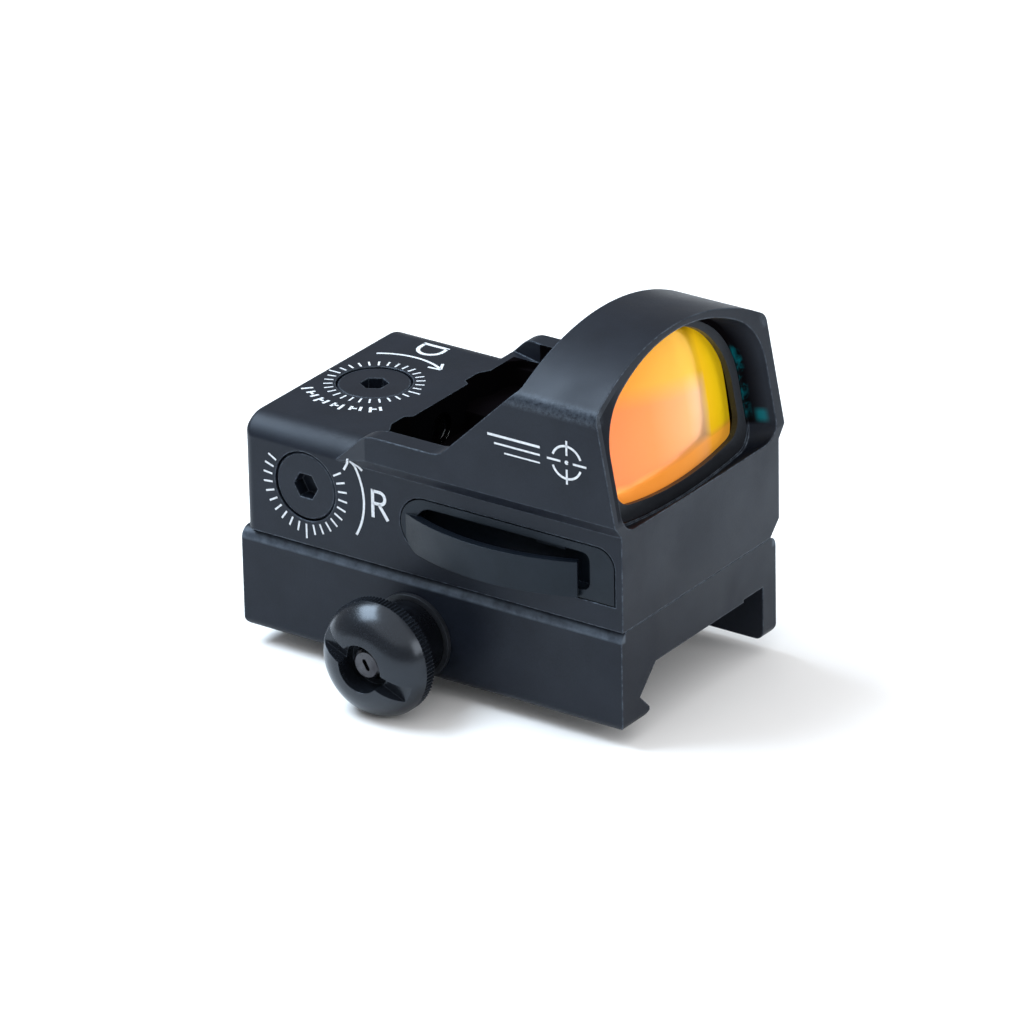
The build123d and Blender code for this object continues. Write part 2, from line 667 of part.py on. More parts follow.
knob_axis = Plane(origin=(0, BOLT_Y, BOLT_Z), x_dir=(0, 1, 0), z_dir=(1, 0, 0))
with BuildPart() as thumb_knob:
    # neck, ring and domed face, turned about the bolt axis
    with BuildSketch(Plane(origin=(0, BOLT_Y, BOLT_Z), x_dir=(1, 0, 0), z_dir=(0, -1, 0))):
        with BuildLine():
            Polyline(
                (KNOB_START_X, BOLT_R + FIT),
                (KNOB_START_X, KNOB_NECK_R),
                (KNOB_RING_X, KNOB_NECK_R),
                (KNOB_RING_X, KNOB_RING_R),
                (KNOB_DOME_X, KNOB_RING_R),
            )
            ThreePointArc(
                (KNOB_DOME_X, KNOB_RING_R),
                (KNOB_DOME_MID_X, KNOB_DOME_MID_R),
                (KNOB_TOP_X, KNOB_MOUTH_R),
            )
            Polyline(
                (KNOB_TOP_X, KNOB_MOUTH_R),
                (KNOB_MOUTH_X, KNOB_MOUTH_R),
                (KNOB_MOUTH_X, BOLT_R + FIT),
                (KNOB_START_X, BOLT_R + FIT),
            )
        make_face()
    revolve(axis=Axis((0, BOLT_Y, BOLT_Z), (1, 0, 0)))
    # straight knurl round the ring
    with BuildSketch(knob_axis.offset(KNOB_RING_X)):
        with PolarLocations(KNOB_RING_R, KNOB_TEETH):
            RegularPolygon(KNOB_TOOTH_DEPTH, 4)
    extrude(amount=KNOB_DOME_X - KNOB_RING_X, mode=Mode.SUBTRACT)
    # coin slot across the dome
    with BuildSketch(knob_axis.offset(SLOT_FLOOR_X)):
        Rectangle(3 * KNOB_RING_R, SLOT_WIDTH, rotation=SLOT_ANGLE)
    extrude(amount=KNOB_TOP_X - SLOT_FLOOR_X + 1, mode=Mode.SUBTRACT)
thumb_knob.part.label = "thumb_knob"
export_step(thumb_knob.part, "parts/thumb_knob.step")

# ================================================================ sight body
arch_drop = HOOD_ARCH_R - math.sqrt(HOOD_ARCH_R**2 - HOOD_HALF_WIDTH**2)
with BuildPart() as band_block:
    # lower band and deck, with its rounded shoulders
    shoulder_mid_x = DECK_HALF_WIDTH + SHOULDER_R * math.sin(math.radians(SHOULDER_MID_DEG))
    shoulder_mid_z = DECK_Z - SHOULDER_R * (1 - math.cos(math.radians(SHOULDER_MID_DEG)))
    with BuildSketch(Plane.XZ.offset(-BODY_FRONT)) as band_profile:
        with BuildLine():
            Polyline(
                (-BODY_HALF_WIDTH, SHOULDER_Z),
                (-BODY_HALF_WIDTH, BODY_BOTTOM),
                (BODY_HALF_WIDTH, BODY_BOTTOM),
                (BODY_HALF_WIDTH, SHOULDER_Z),
            )
            ThreePointArc(
                (BODY_HALF_WIDTH, SHOULDER_Z),
                (shoulder_mid_x, shoulder_mid_z),
                (DECK_HALF_WIDTH, DECK_Z),
            )
            Line((DECK_HALF_WIDTH, DECK_Z), (-DECK_HALF_WIDTH, DECK_Z))
            ThreePointArc(
                (-DECK_HALF_WIDTH, DECK_Z),
                (-shoulder_mid_x, shoulder_mid_z),
                (-BODY_HALF_WIDTH, SHOULDER_Z),
            )
        make_face()
        low_corner = band_profile.vertices().group_by(Axis.Y)[0].sort_by(Axis.X)[0]
        chamfer(low_corner, BAND_CHAMFER)
    extrude(amount=BODY_FRONT - BODY_REAR)
    # softened rear corners of the block
    fillet(band_block.edges().filter_by(Axis.Z).group_by(Axis.Y)[0], BAND_REAR_EDGE)
    fillet(band_block.faces().sort_by(Axis.Z)[-1].edges().group_by(Axis.Y)[0], BAND_TOP_EDGE)

lean_run = math.tan(math.radians(LEAN_DEG)) * (HOOD_TOP_Z + 1 - LEAN_Z)
# side walls and hood, which stand a little wider than the band
with BuildPart() as hood_block:
    with BuildSketch(Plane.XZ.offset(-BODY_FRONT)) as hood_profile:
        with BuildLine():
            Polyline(
                (-HOOD_HALF_WIDTH, HOOD_TOP_Z - arch_drop),
                (-HOOD_HALF_WIDTH, HOOD_SIDE_Z),
                (-BODY_HALF_WIDTH, HOOD_UNDER_Z),
                (-BODY_HALF_WIDTH, CAVITY_FLOOR - 1),
                (BODY_HALF_WIDTH, CAVITY_FLOOR - 1),
                (BODY_HALF_WIDTH, HOOD_UNDER_Z),
                (HOOD_HALF_WIDTH, HOOD_SIDE_Z),
                (HOOD_HALF_WIDTH, HOOD_TOP_Z - arch_drop),
            )
            ThreePointArc(
                (HOOD_HALF_WIDTH, HOOD_TOP_Z - arch_drop),
                (0, HOOD_TOP_Z),
                (-HOOD_HALF_WIDTH, HOOD_TOP_Z - arch_drop),
            )
        make_face()
        arch_corners = [
            v for v in hood_profile.vertices() if abs(v.Y - HOOD_TOP_Z + arch_drop) < 0.01
        ]
        fillet(arch_corners, HOOD_CORNER_R)
    extrude(amount=BODY_FRONT - WALL_RAMP_START)
    # side view: ramp, sill, slope up to the hood, leaning front
    with BuildSketch(Plane.YZ) as side_view:
        with BuildLine():
            Polyline(
                (WALL_RAMP_START, CAVITY_FLOOR - 2),
                (WALL_RAMP_START, SHOULDER_Z),
                (WALL_RAMP_END, SILL_Z),
                (SILL_END, SILL_Z),
                (HOOD_REAR, HOOD_REAR_Z),
                (HOOD_REAR, HOOD_TOP_Z + 1),
                (BODY_FRONT - lean_run, HOOD_TOP_Z + 1),
                (BODY_FRONT, LEAN_Z),
                (BODY_FRONT, CAVITY_FLOOR - 2),
                close=True,
            )
        make_face()
        sill_corner = side_view.vertices().sort_by_distance((SILL_END, SILL_Z, 0))[0]
        fillet(sill_corner, SILL_CORNER_R)
        ramp_corner = side_view.vertices().sort_by_distance((WALL_RAMP_END, SILL_Z, 0))[0]
        fillet(ramp_corner, RAMP_TOP_R)
        slope_top = side_view.vertices().sort_by_distance((HOOD_REAR, HOOD_REAR_Z, 0))[0]
        fillet(slope_top, SLOPE_TOP_EDGE)
    extrude(amount=HOOD_HALF_WIDTH + 1, both=True, mode=Mode.INTERSECT)
    # plan view: the walls widen along the ramp
    with BuildSketch(Plane.XY.offset(CAVITY_FLOOR - 2)):
        with BuildLine():
            Polyline(
                (-BODY_HALF_WIDTH, WALL_RAMP_START),
                (-HOOD_HALF_WIDTH, WALL_RAMP_END),
                (-HOOD_HALF_WIDTH, BODY_FRONT),
                (HOOD_HALF_WIDTH, BODY_FRONT),
                (HOOD_HALF_WIDTH, WALL_RAMP_END),
                (BODY_HALF_WIDTH, WALL_RAMP_START),
                close=True,
            )
        make_face()
    extrude(amount=HOOD_TOP_Z, mode=Mode.INTERSECT)

mouth_front = dome_sketch(front_plane.offset(MOUTH_START), **MOUTH_FRONT)
mouth_rear = dome_sketch(front_plane.offset(-WINDOW_DEPTH), **MOUTH_REAR)
lens_seat = dome_sketch(front_plane.offset(-WINDOW_DEPTH), **LENS_SEAT)
light_way = dome_sketch(front_plane.offset(-LENS_DEPTH), **LIGHT_WAY)

with BuildPart() as sight_body:
    add(band_block.part)
    with BuildSketch(Plane.YZ):
        with BuildLine():
            Polyline(
                (BODY_FRONT, LEAN_Z),
                (BODY_FRONT - lean_run, HOOD_TOP_Z + 1),
                (BODY_FRONT + 1, HOOD_TOP_Z + 1),
                (BODY_FRONT + 1, LEAN_Z),
                close=True,
            )
        make_face()
    extrude(amount=HOOD_HALF_WIDTH, both=True, mode=Mode.SUBTRACT)
    add(hood_block.part)
    # window mouth, lens seat and the way for the light behind the lens
    loft([mouth_front, mouth_rear], mode=Mode.SUBTRACT)
    extrude(lens_seat, amount=-(LENS_DEPTH + LENS_THICK - WINDOW_DEPTH), mode=Mode.SUBTRACT)
    extrude(light_way, amount=-(BODY_FRONT - HOOD_REAR), mode=Mode.SUBTRACT)
    # open space between the side walls
    with BuildSketch(Plane.XY.offset(CAVITY_STEP_Z)) as wide_outline:
        with Locations((0, (CAVITY_WIDE_REAR + HOOD_REAR) / 2)):
            Rectangle(2 * CAVITY_HALF_WIDTH, HOOD_REAR - CAVITY_WIDE_REAR)
        fillet(wide_outline.vertices().group_by(Axis.Y)[0], CAVITY_CORNER_R)
    extrude(amount=HOOD_TOP_Z, mode=Mode.SUBTRACT)
    with BuildSketch(Plane.XY.offset(DECK_Z)):
        with BuildLine():
            Polyline(
                (-CAVITY_HALF_WIDTH, DECK_OPEN_FRONT),
                (-DECK_OPEN_HALF_WIDTH, DECK_OPEN_REAR),
                (DECK_OPEN_HALF_WIDTH, DECK_OPEN_REAR),
                (CAVITY_HALF_WIDTH, DECK_OPEN_FRONT),
                close=True,
            )
        make_face()
    extrude(amount=HOOD_TOP_Z, mode=Mode.SUBTRACT)
    # cavity in front of the deck, with a tongue in the middle of the deck's edge
    with BuildSketch(Plane.XY.offset(CAVITY_FLOOR)) as cavity_outline:
        with BuildLine():
            Polyline(
                (-CAVITY_HALF_WIDTH + CAVITY_STEP, CAVITY_REAR),
                (-NOTCH_END, CAVITY_REAR),
                (-NOTCH_OUTER, CAVITY_REAR - NOTCH_DEPTH),
                (-TONGUE_HALF - CAVITY_STEP, CAVITY_REAR - NOTCH_DEPTH),
                (-TONGUE_HALF, CAVITY_REAR),
                (TONGUE_HALF, CAVITY_REAR),
                (TONGUE_HALF + CAVITY_STEP, CAVITY_REAR - NOTCH_DEPTH),
                (NOTCH_OUTER, CAVITY_REAR - NOTCH_DEPTH),
                (NOTCH_END, CAVITY_REAR),
                (CAVITY_HALF_WIDTH - CAVITY_STEP, CAVITY_REAR),
                (CAVITY_HALF_WIDTH - CAVITY_STEP, HOOD_REAR + 2),
                (-CAVITY_HALF_WIDTH + CAVITY_STEP, HOOD_REAR + 2),
                close=True,
            )
        make_face()
        rear_corners = cavity_outline.vertices().filter_by_position(Axis.Y, -BODY_FRONT, 0)
        wide_corners = [v for v in rear_corners if abs(v.X) > NOTCH_END + 1]
        fillet(wide_corners, CAVITY_CORNER_R)
        outer_corners = [
            v for v in cavity_outline.vertices()
            if abs(abs(v.X) - NOTCH_OUTER) < 0.01 or abs(abs(v.X) - NOTCH_END) < 0.01
        ]
        fillet(outer_corners, NOTCH_OUTER_R)
        tongue_corners = [
            v for v in cavity_outline.vertices() if abs(v.X) < TONGUE_HALF + CAVITY_STEP + 0.01
        ]
        fillet(tongue_corners, NOTCH_CORNER_R)
    extrude(amount=SILL_Z - CAVITY_FLOOR, mode=Mode.SUBTRACT)
    # well in front of the emitter, and the emitter's light hole
    with BuildSketch(Plane.XY.offset(WELL_FLOOR)):
        with Locations((0, (CAVITY_REAR + WELL_FRONT) / 2)):
            Rectangle(2 * WELL_HALF_WIDTH, WELL_FRONT - CAVITY_REAR)
    extrude(amount=CAVITY_FLOOR - WELL_FLOOR, mode=Mode.SUBTRACT)
    with BuildSketch(Plane.XZ.offset(-CAVITY_REAR)):
        with Locations((0, LED_Z)):
            Circle(WINDOW_SEAT_R)
    extrude(amount=WINDOW_SEAT_DEPTH, mode=Mode.SUBTRACT)
    with BuildSketch(Plane.XZ.offset(-CAVITY_REAR)):
        with Locations((0, LED_Z)):
            Circle(EMITTER_HOLE_R)
    extrude(amount=CAVITY_REAR - BAY_LED_REAR, mode=Mode.SUBTRACT)
    # electronics bay, open at the bottom
    with BuildSketch(Plane.XY.offset(BODY_BOTTOM)):
        with Locations((0, (BAY_REAR + BAY_LED_FRONT) / 2)):
            Rectangle(2 * BAY_HALF_WIDTH, BAY_LED_FRONT - BAY_REAR)
        with Locations((0, (GUIDE_SLOT_REAR + BAY_REAR) / 2)):
            Rectangle(2 * GUIDE_SLOT_HALF, BAY_REAR - GUIDE_SLOT_REAR)
    extrude(amount=BAY_DIAL_TOP - BODY_BOTTOM, mode=Mode.SUBTRACT)
    with BuildSketch(Plane.XY.offset(BODY_BOTTOM)):
        with Locations((0, (BAY_LED_FRONT + BAY_FRONT) / 2)):
            Rectangle(2 * BAY_HALF_WIDTH, BAY_FRONT - BAY_LED_FRONT)
    extrude(amount=WELL_FLOOR - 1 - BODY_BOTTOM, mode=Mode.SUBTRACT)
    with BuildSketch(Plane.XY.offset(BAY_DIAL_TOP - 1)):
        with Locations((0, (BAY_LED_REAR + BAY_LED_FRONT) / 2)):
            Rectangle(LED_BAY_WIDTH, BAY_LED_FRONT - BAY_LED_REAR)
    extrude(amount=BAY_LED_TOP - BAY_DIAL_TOP + 1, mode=Mode.SUBTRACT)
    # ledge for the bottom plate
    with BuildSketch(Plane.XY.offset(BODY_BOTTOM)):
        with Locations((0, PLATE_Y)):
            Rectangle(2 * (PLATE_HALF_WIDTH + PLATE_GAP), PLATE_FRONT - PLATE_REAR + 2 * PLATE_GAP)
        with Locations((0, (PLATE_TAB_REAR + PLATE_REAR) / 2)):
            Rectangle(2 * (PLATE_TAB_HALF + PLATE_GAP), PLATE_REAR - PLATE_TAB_REAR + 2 * PLATE_GAP)
    extrude(amount=PLATE_THICK + PLATE_GAP, mode=Mode.SUBTRACT)
    # windage dial seat and shaft bore in the right wall
    with BuildSketch(Plane.YZ.offset(BODY_HALF_WIDTH)):
        with Locations((WINDAGE_Y, WINDAGE_Z)):
            Circle(WINDAGE_R + DIAL_GAP)
    extrude(amount=-(DIAL_INSET + DIAL_THICK + DIAL_FLOOR_GAP), mode=Mode.SUBTRACT)
    with BuildSketch(Plane.YZ.offset(BODY_HALF_WIDTH)):
        with Locations((WINDAGE_Y, WINDAGE_Z)):
            Circle(HUB_R + FIT)
    extrude(
        amount=-(DIAL_INSET + DIAL_THICK + HUB_LENGTH + DIAL_FLOOR_GAP), mode=Mode.SUBTRACT
    )
    with BuildSketch(Plane.YZ.offset(BODY_HALF_WIDTH)):
        with Locations((WINDAGE_Y, WINDAGE_Z)):
            Circle(SHAFT_R + FIT)
    extrude(amount=-(BODY_HALF_WIDTH - BAY_HALF_WIDTH + 1), mode=Mode.SUBTRACT)
    # elevation dial seat and shaft bore in the deck
    with BuildSketch(Plane.XY.offset(DECK_Z)):
        with Locations((0, ELEVATION_Y)):
            Circle(ELEVATION_R + DIAL_GAP)
    extrude(amount=-(DIAL_INSET + DIAL_THICK + DIAL_FLOOR_GAP), mode=Mode.SUBTRACT)
    with BuildSketch(Plane.XY.offset(DECK_Z)):
        with Locations((0, ELEVATION_Y)):
            Circle(HUB_R + FIT)
    extrude(
        amount=-(DIAL_INSET + DIAL_THICK + HUB_LENGTH + DIAL_FLOOR_GAP), mode=Mode.SUBTRACT
    )
    with BuildSketch(Plane.XY.offset(DECK_Z)):
        with Locations((0, ELEVATION_Y)):
            Circle(SHAFT_R + FIT)
    extrude(amount=-(DECK_Z - BAY_DIAL_TOP + 1), mode=Mode.SUBTRACT)
    # grooves for the sealing rings, and room for the clip on the elevation shaft
    with BuildSketch(Plane.YZ.offset(WINDAGE_RING_X - ORING_WIRE_R)):
        with Locations((WINDAGE_Y, WINDAGE_Z)):
            Circle(ORING_GROOVE_R)
    extrude(amount=2 * ORING_WIRE_R, mode=Mode.SUBTRACT)
    with BuildSketch(Plane.XY.offset(ELEVATION_RING_Z - ORING_WIRE_R)):
        with Locations((0, ELEVATION_Y)):
            Circle(ORING_GROOVE_R)
    extrude(amount=2 * ORING_WIRE_R, mode=Mode.SUBTRACT)
    with BuildSketch(Plane.YZ.offset(BUTTON_RING_X - ORING_WIRE_R)):
        with Locations((BUTTON_Y, BUTTON_Z)):
            Circle(ORING_GROOVE_R)
    extrude(amount=2 * ORING_WIRE_R, mode=Mode.SUBTRACT)
    with BuildSketch(Plane.XY.offset(ELEVATION_CLIP_Z - CLIP_SPACE)):
        with Locations((0, ELEVATION_Y)):
            Circle(CLIP_R + CLIP_SPACE)
    extrude(amount=CLIP_THICK + 2 * CLIP_SPACE, mode=Mode.SUBTRACT)
    # blind holes for the click balls, and holes for the guide rod
    with BuildSketch(Plane.YZ.offset(WINDAGE_BASE)):
        with Locations((WINDAGE_Y + DETENT_OFFSET, WINDAGE_Z)):
            Circle(DETENT_R)
    extrude(amount=-DETENT_DEPTH, mode=Mode.SUBTRACT)
    with BuildSketch(Plane.XY.offset(ELEVATION_BASE)):
        with Locations((DETENT_OFFSET, ELEVATION_Y)):
            Circle(DETENT_R)
    extrude(amount=-DETENT_DEPTH, mode=Mode.SUBTRACT)
    with BuildSketch(Plane.YZ):
        with Locations((GUIDE_ROD_Y, GUIDE_ROD_Z)):
            Circle(GUIDE_ROD_R)
    extrude(amount=GUIDE_ROD_END, both=True, mode=Mode.SUBTRACT)
    # slots for the two battery contacts through the wall between the bays
    with BuildSketch(Plane.XY.offset(PLUS_Z - PLUS_SLOT_HALF)):
        with Locations((PLUS_X, (DRAWER_REAR + BAY_LED_FRONT) / 2)):
            Rectangle(LEAF_WIDTH + LEAF_SLOT_SPACE, DRAWER_REAR - BAY_LED_FRONT + LEAF_SLOT_RUN)
    extrude(amount=2 * PLUS_SLOT_HALF, mode=Mode.SUBTRACT)
    with BuildSketch(Plane.XY.offset(TRAY_BAY_FLOOR)):
        with Locations((MINUS_X, (DRAWER_REAR + BAY_FRONT) / 2)):
            Rectangle(LEAF_WIDTH + LEAF_SLOT_SPACE, DRAWER_REAR - BAY_FRONT + LEAF_SLOT_RUN)
    extrude(amount=MINUS_SLOT_DEPTH, mode=Mode.SUBTRACT)
    # battery drawer opening and bay
    extrude(
        drawer_sketch(BODY_HALF_WIDTH + 1, DRAWER_GAP),
        amount=-(BODY_HALF_WIDTH + 1 - DRAWER_PLATE_X + SEAL_THICK + DRAWER_GAP),
        mode=Mode.SUBTRACT,
    )
    with BuildSketch(Plane.YZ.offset(DRAWER_PLATE_X)):
        with Locations((DRAWER_Y, (TRAY_BAY_FLOOR + TRAY_BAY_TOP) / 2)):
            Rectangle(2 * (TRAY_HALF + TRAY_CLEAR), TRAY_BAY_TOP - TRAY_BAY_FLOOR)
    extrude(amount=-(DRAWER_PLATE_X - TRAY_INNER_X + TRAY_CLEAR), mode=Mode.SUBTRACT)
    # power button bore in the left wall
    with BuildSketch(Plane.YZ.offset(-BODY_HALF_WIDTH)):
        with Locations((BUTTON_Y, BUTTON_Z)):
            Circle(BUTTON_R + FIT)
    extrude(amount=BUTTON_BORE_DEPTH, mode=Mode.SUBTRACT)
    with BuildSketch(Plane.YZ.offset(-BODY_HALF_WIDTH)):
        with Locations((BUTTON_Y, BUTTON_Z)):
            Circle(BUTTON_STEM_R + FIT)
    extrude(amount=BODY_HALF_WIDTH - BAY_HALF_WIDTH + 1, mode=Mode.SUBTRACT)
    # tapped holes for the screws from the mount
    with BuildSketch(Plane.XY.offset(BODY_BOTTOM)):
        with Locations(*FASTENER_PLACES):
            Circle(FASTENER_R)
    extrude(amount=FASTENER_HOLE_DEPTH, mode=Mode.SUBTRACT)
    # tapped holes for the screws of the bottom plate
    with BuildSketch(Plane.XY.offset(BODY_BOTTOM)):
        with Locations(*PLATE_SCREW_PLACES):
            Circle(PLATE_SCREW_R)
    extrude(amount=PLATE_SCREW_END + CLIP_SPACE - BODY_BOTTOM, mode=Mode.SUBTRACT)
sight_body.part.label = "sight_body"
export_step(sight_body.part, "parts/sight_body.step")

# ================================================================ fasteners, gasket and bottom plate
with BuildPart() as body_screws:
    with BuildSketch(Plane.XY.offset(FASTENER_HEAD_BOTTOM)):
        with Locations(*FASTENER_PLACES):
            Circle(FASTENER_HEAD_R)
    extrude(amount=FASTENER_HEAD_TOP - FASTENER_HEAD_BOTTOM)
    with BuildSketch(Plane.XY.offset(FASTENER_HEAD_TOP)):
        with Locations(*FASTENER_PLACES):
            Circle(FASTENER_R)
    extrude(amount=FASTENER_END - FASTENER_HEAD_TOP)
    with BuildSketch(Plane.XY.offset(FASTENER_HEAD_BOTTOM)):
        with Locations(*FASTENER_PLACES):
            RegularPolygon(KEY_HALF, 6, major_radius=False)
    extrude(amount=KEY_DEPTH, mode=Mode.SUBTRACT)
body_screws.part.label = "body_screws"
export_step(body_screws.part, "parts/body_screws.step")

with BuildPart() as base_gasket:
    with BuildSketch(Plane.XY.offset(MOUNT_TOP)) as gasket_outline:
        Rectangle(2 * (MOUNT_HALF_WIDTH - GASKET_INSET), MOUNT_LENGTH - 2 * GASKET_INSET)
        fillet(gasket_outline.vertices(), GASKET_CORNER_R)
        with Locations((0, PLATE_Y)):
            Rectangle(
                2 * (PLATE_HALF_WIDTH - GASKET_LAP),
                PLATE_FRONT - PLATE_REAR - 2 * GASKET_LAP,
                mode=Mode.SUBTRACT,
            )
        with Locations(*FASTENER_PLACES):
            Circle(FASTENER_R + FASTENER_GAP, mode=Mode.SUBTRACT)
    extrude(amount=BODY_BOTTOM - MOUNT_TOP)
base_gasket.part.label = "base_gasket"
export_step(base_gasket.part, "parts/base_gasket.step")

with BuildPart() as bottom_plate:
    with BuildSketch(Plane.XY.offset(PLATE_BOTTOM)) as plate_outline:
        with Locations((0, PLATE_Y)):
            Rectangle(2 * PLATE_HALF_WIDTH, PLATE_FRONT - PLATE_REAR)
        fillet(plate_outline.vertices(), PLATE_CORNER_R)
        with Locations((0, PLATE_REAR)):
            Rectangle(2 * PLATE_TAB_HALF, 2 * (PLATE_REAR - PLATE_TAB_REAR))
    extrude(amount=PLATE_THICK)
    with BuildSketch(Plane.XY.offset(PLATE_BOTTOM)):
        with Locations(*PLATE_SCREW_PLACES):
            Circle(PLATE_HEAD_R + PLATE_GAP)
    extrude(amount=PLATE_HEAD_SPACE, mode=Mode.SUBTRACT)
    with BuildSketch(Plane.XY.offset(PLATE_BOTTOM)):
        with Locations(*PLATE_SCREW_PLACES):
            Circle(PLATE_SCREW_R + PLATE_GAP)
    extrude(amount=PLATE_THICK, mode=Mode.SUBTRACT)
bottom_plate.part.label = "bottom_plate"
export_step(bottom_plate.part, "parts/bottom_plate.step")

plate_head_start = PLATE_BOTTOM + PLATE_HEAD_SPACE - PLATE_HEAD_HEIGHT
with BuildPart() as bottom_plate_screws:
    with BuildSketch(Plane.XY.offset(plate_head_start)):
        with Locations(*PLATE_SCREW_PLACES):
            Circle(PLATE_HEAD_R)
    extrude(amount=PLATE_HEAD_HEIGHT)
    with BuildSketch(Plane.XY.offset(PLATE_BOTTOM + PLATE_HEAD_SPACE)):
        with Locations(*PLATE_SCREW_PLACES):
            Circle(PLATE_SCREW_R)
    extrude(amount=PLATE_SCREW_END - PLATE_BOTTOM - PLATE_HEAD_SPACE)
    with BuildSketch(Plane.XY.offset(plate_head_start)):
        with Locations(*PLATE_SCREW_PLACES):
            RegularPolygon(PLATE_KEY_HALF, 6, major_radius=False)
    extrude(amount=PLATE_KEY_DEPTH, mode=Mode.SUBTRACT)
bottom_plate_screws.part.label = "bottom_plate_screws"
export_step(bottom_plate_screws.part, "parts/bottom_plate_screws.step")

# ================================================================ lens and bezel
lens_plane = front_plane.offset(-LENS_DEPTH)
lens_outline = dome_sketch(lens_plane, **LENS_EDGE)
clear_outline = dome_sketch(lens_plane, **LENS_CLEAR)
lens_middle = lens_plane.origin + lens_plane.y_dir * LENS_MIDDLE
curve_centre = lens_middle - lens_plane.z_dir * LENS_CURVE_R

# ball whose surface gives the lens its gently curved front
with BuildPart() as curve_ball:
    with Locations(Location(curve_centre)):
        Sphere(LENS_CURVE_R)

with BuildPart() as objective_lens:
    extrude(lens_outline, amount=-LENS_THICK)
    add(curve_ball.part, mode=Mode.INTERSECT)
objective_lens.part.label = "objective_lens"
export_step(objective_lens.part, "parts/objective_lens.step")

# thin ring that holds the lens against its seat
with BuildPart() as lens_bezel:
    extrude(lens_outline, amount=LENS_DEPTH - WINDOW_DEPTH)
    extrude(clear_outline, amount=LENS_DEPTH - WINDOW_DEPTH, mode=Mode.SUBTRACT)
lens_bezel.part.label = "lens_bezel"
export_step(lens_bezel.part, "parts/lens_bezel.step")

# ================================================================ adjusting dials
with BuildPart() as windage_dial:
    with BuildSketch(Plane.YZ.offset(WINDAGE_TOP)):
        with Locations((WINDAGE_Y, WINDAGE_Z)):
            Circle(WINDAGE_R)
    extrude(amount=-DIAL_THICK)
    with BuildSketch(Plane.YZ.offset(WINDAGE_BASE)):
        with Locations((WINDAGE_Y, WINDAGE_Z)):
            Circle(HUB_R)
    extrude(amount=-HUB_LENGTH)
    with BuildSketch(Plane.YZ.offset(WINDAGE_HUB_END)):
        with Locations((WINDAGE_Y, WINDAGE_Z)):
            Circle(SHAFT_R)
    extrude(amount=WINDAGE_SHAFT_END - WINDAGE_HUB_END)
    with BuildSketch(Plane.YZ.offset(WINDAGE_SHAFT_END)):
        with Locations((WINDAGE_Y, WINDAGE_Z)):
            Circle(SCREW_R)
    extrude(amount=WINDAGE_SCREW_END - WINDAGE_SHAFT_END)
    # groove for the clip
    with BuildSketch(Plane.YZ.offset(WINDAGE_CLIP_X)):
        with Locations((WINDAGE_Y, WINDAGE_Z)):
            Circle(CLIP_R)
            Circle(CLIP_GROOVE_R, mode=Mode.SUBTRACT)
    extrude(amount=CLIP_THICK, mode=Mode.SUBTRACT)
    # hexagon socket
    with BuildSketch(Plane.YZ.offset(WINDAGE_TOP)):
        with Locations((WINDAGE_Y, WINDAGE_Z)):
            RegularPolygon(SOCKET_ACROSS / 2, 6, major_radius=False)
    extrude(amount=-SOCKET_DEPTH, mode=Mode.SUBTRACT)
    chamfer(windage_dial.faces().sort_by(Axis.X)[-1].outer_wire().edges(), DIAL_EDGE)
windage_dial.part.label = "windage_dial"
export_step(windage_dial.part, "parts/windage_dial.step")

with BuildPart() as windage_clip:
    with BuildSketch(Plane.YZ.offset(WINDAGE_CLIP_X)):
        with Locations((WINDAGE_Y, WINDAGE_Z)):
            Circle(CLIP_R)
            Circle(CLIP_GROOVE_R, mode=Mode.SUBTRACT)
        with Locations((WINDAGE_Y, WINDAGE_Z - CLIP_R)):
            Rectangle(CLIP_MOUTH, 2 * (CLIP_R - CLIP_BRIDGE), mode=Mode.SUBTRACT)
    extrude(amount=CLIP_THICK)
windage_clip.part.label = "windage_clip"
export_step(windage_clip.part, "parts/windage_clip.step")

with BuildPart() as elevation_dial:
    with BuildSketch(Plane.XY.offset(ELEVATION_TOP)):
        with Locations((0, ELEVATION_Y)):
            Circle(ELEVATION_R)
    extrude(amount=-DIAL_THICK)
    with BuildSketch(Plane.XY.offset(ELEVATION_BASE)):
        with Locations((0, ELEVATION_Y)):
            Circle(HUB_R)
    extrude(amount=-HUB_LENGTH)
    with BuildSketch(Plane.XY.offset(ELEVATION_HUB_END)):
        with Locations((0, ELEVATION_Y)):
            Circle(SHAFT_R)
    extrude(amount=ELEVATION_SHAFT_END - ELEVATION_HUB_END)
    with BuildSketch(Plane.XY.offset(ELEVATION_SHAFT_END)):
        with Locations((0, ELEVATION_Y)):
            Circle(SCREW_R)
    extrude(amount=ELEVATION_SCREW_END - ELEVATION_SHAFT_END)
    # groove for the clip
    with BuildSketch(Plane.XY.offset(ELEVATION_CLIP_Z)):
        with Locations((0, ELEVATION_Y)):
            Circle(CLIP_R)
            Circle(CLIP_GROOVE_R, mode=Mode.SUBTRACT)
    extrude(amount=CLIP_THICK, mode=Mode.SUBTRACT)
    # hexagon socket
    with BuildSketch(Plane.XY.offset(ELEVATION_TOP)):
        with Locations((0, ELEVATION_Y)):
            RegularPolygon(SOCKET_ACROSS / 2, 6, major_radius=False)
    extrude(amount=-SOCKET_DEPTH, mode=Mode.SUBTRACT)
    chamfer(elevation_dial.faces().sort_by(Axis.Z)[-1].outer_wire().edges(), DIAL_EDGE)
elevation_dial.part.label = "elevation_dial"
export_step(elevation_dial.part, "parts/elevation_dial.step")

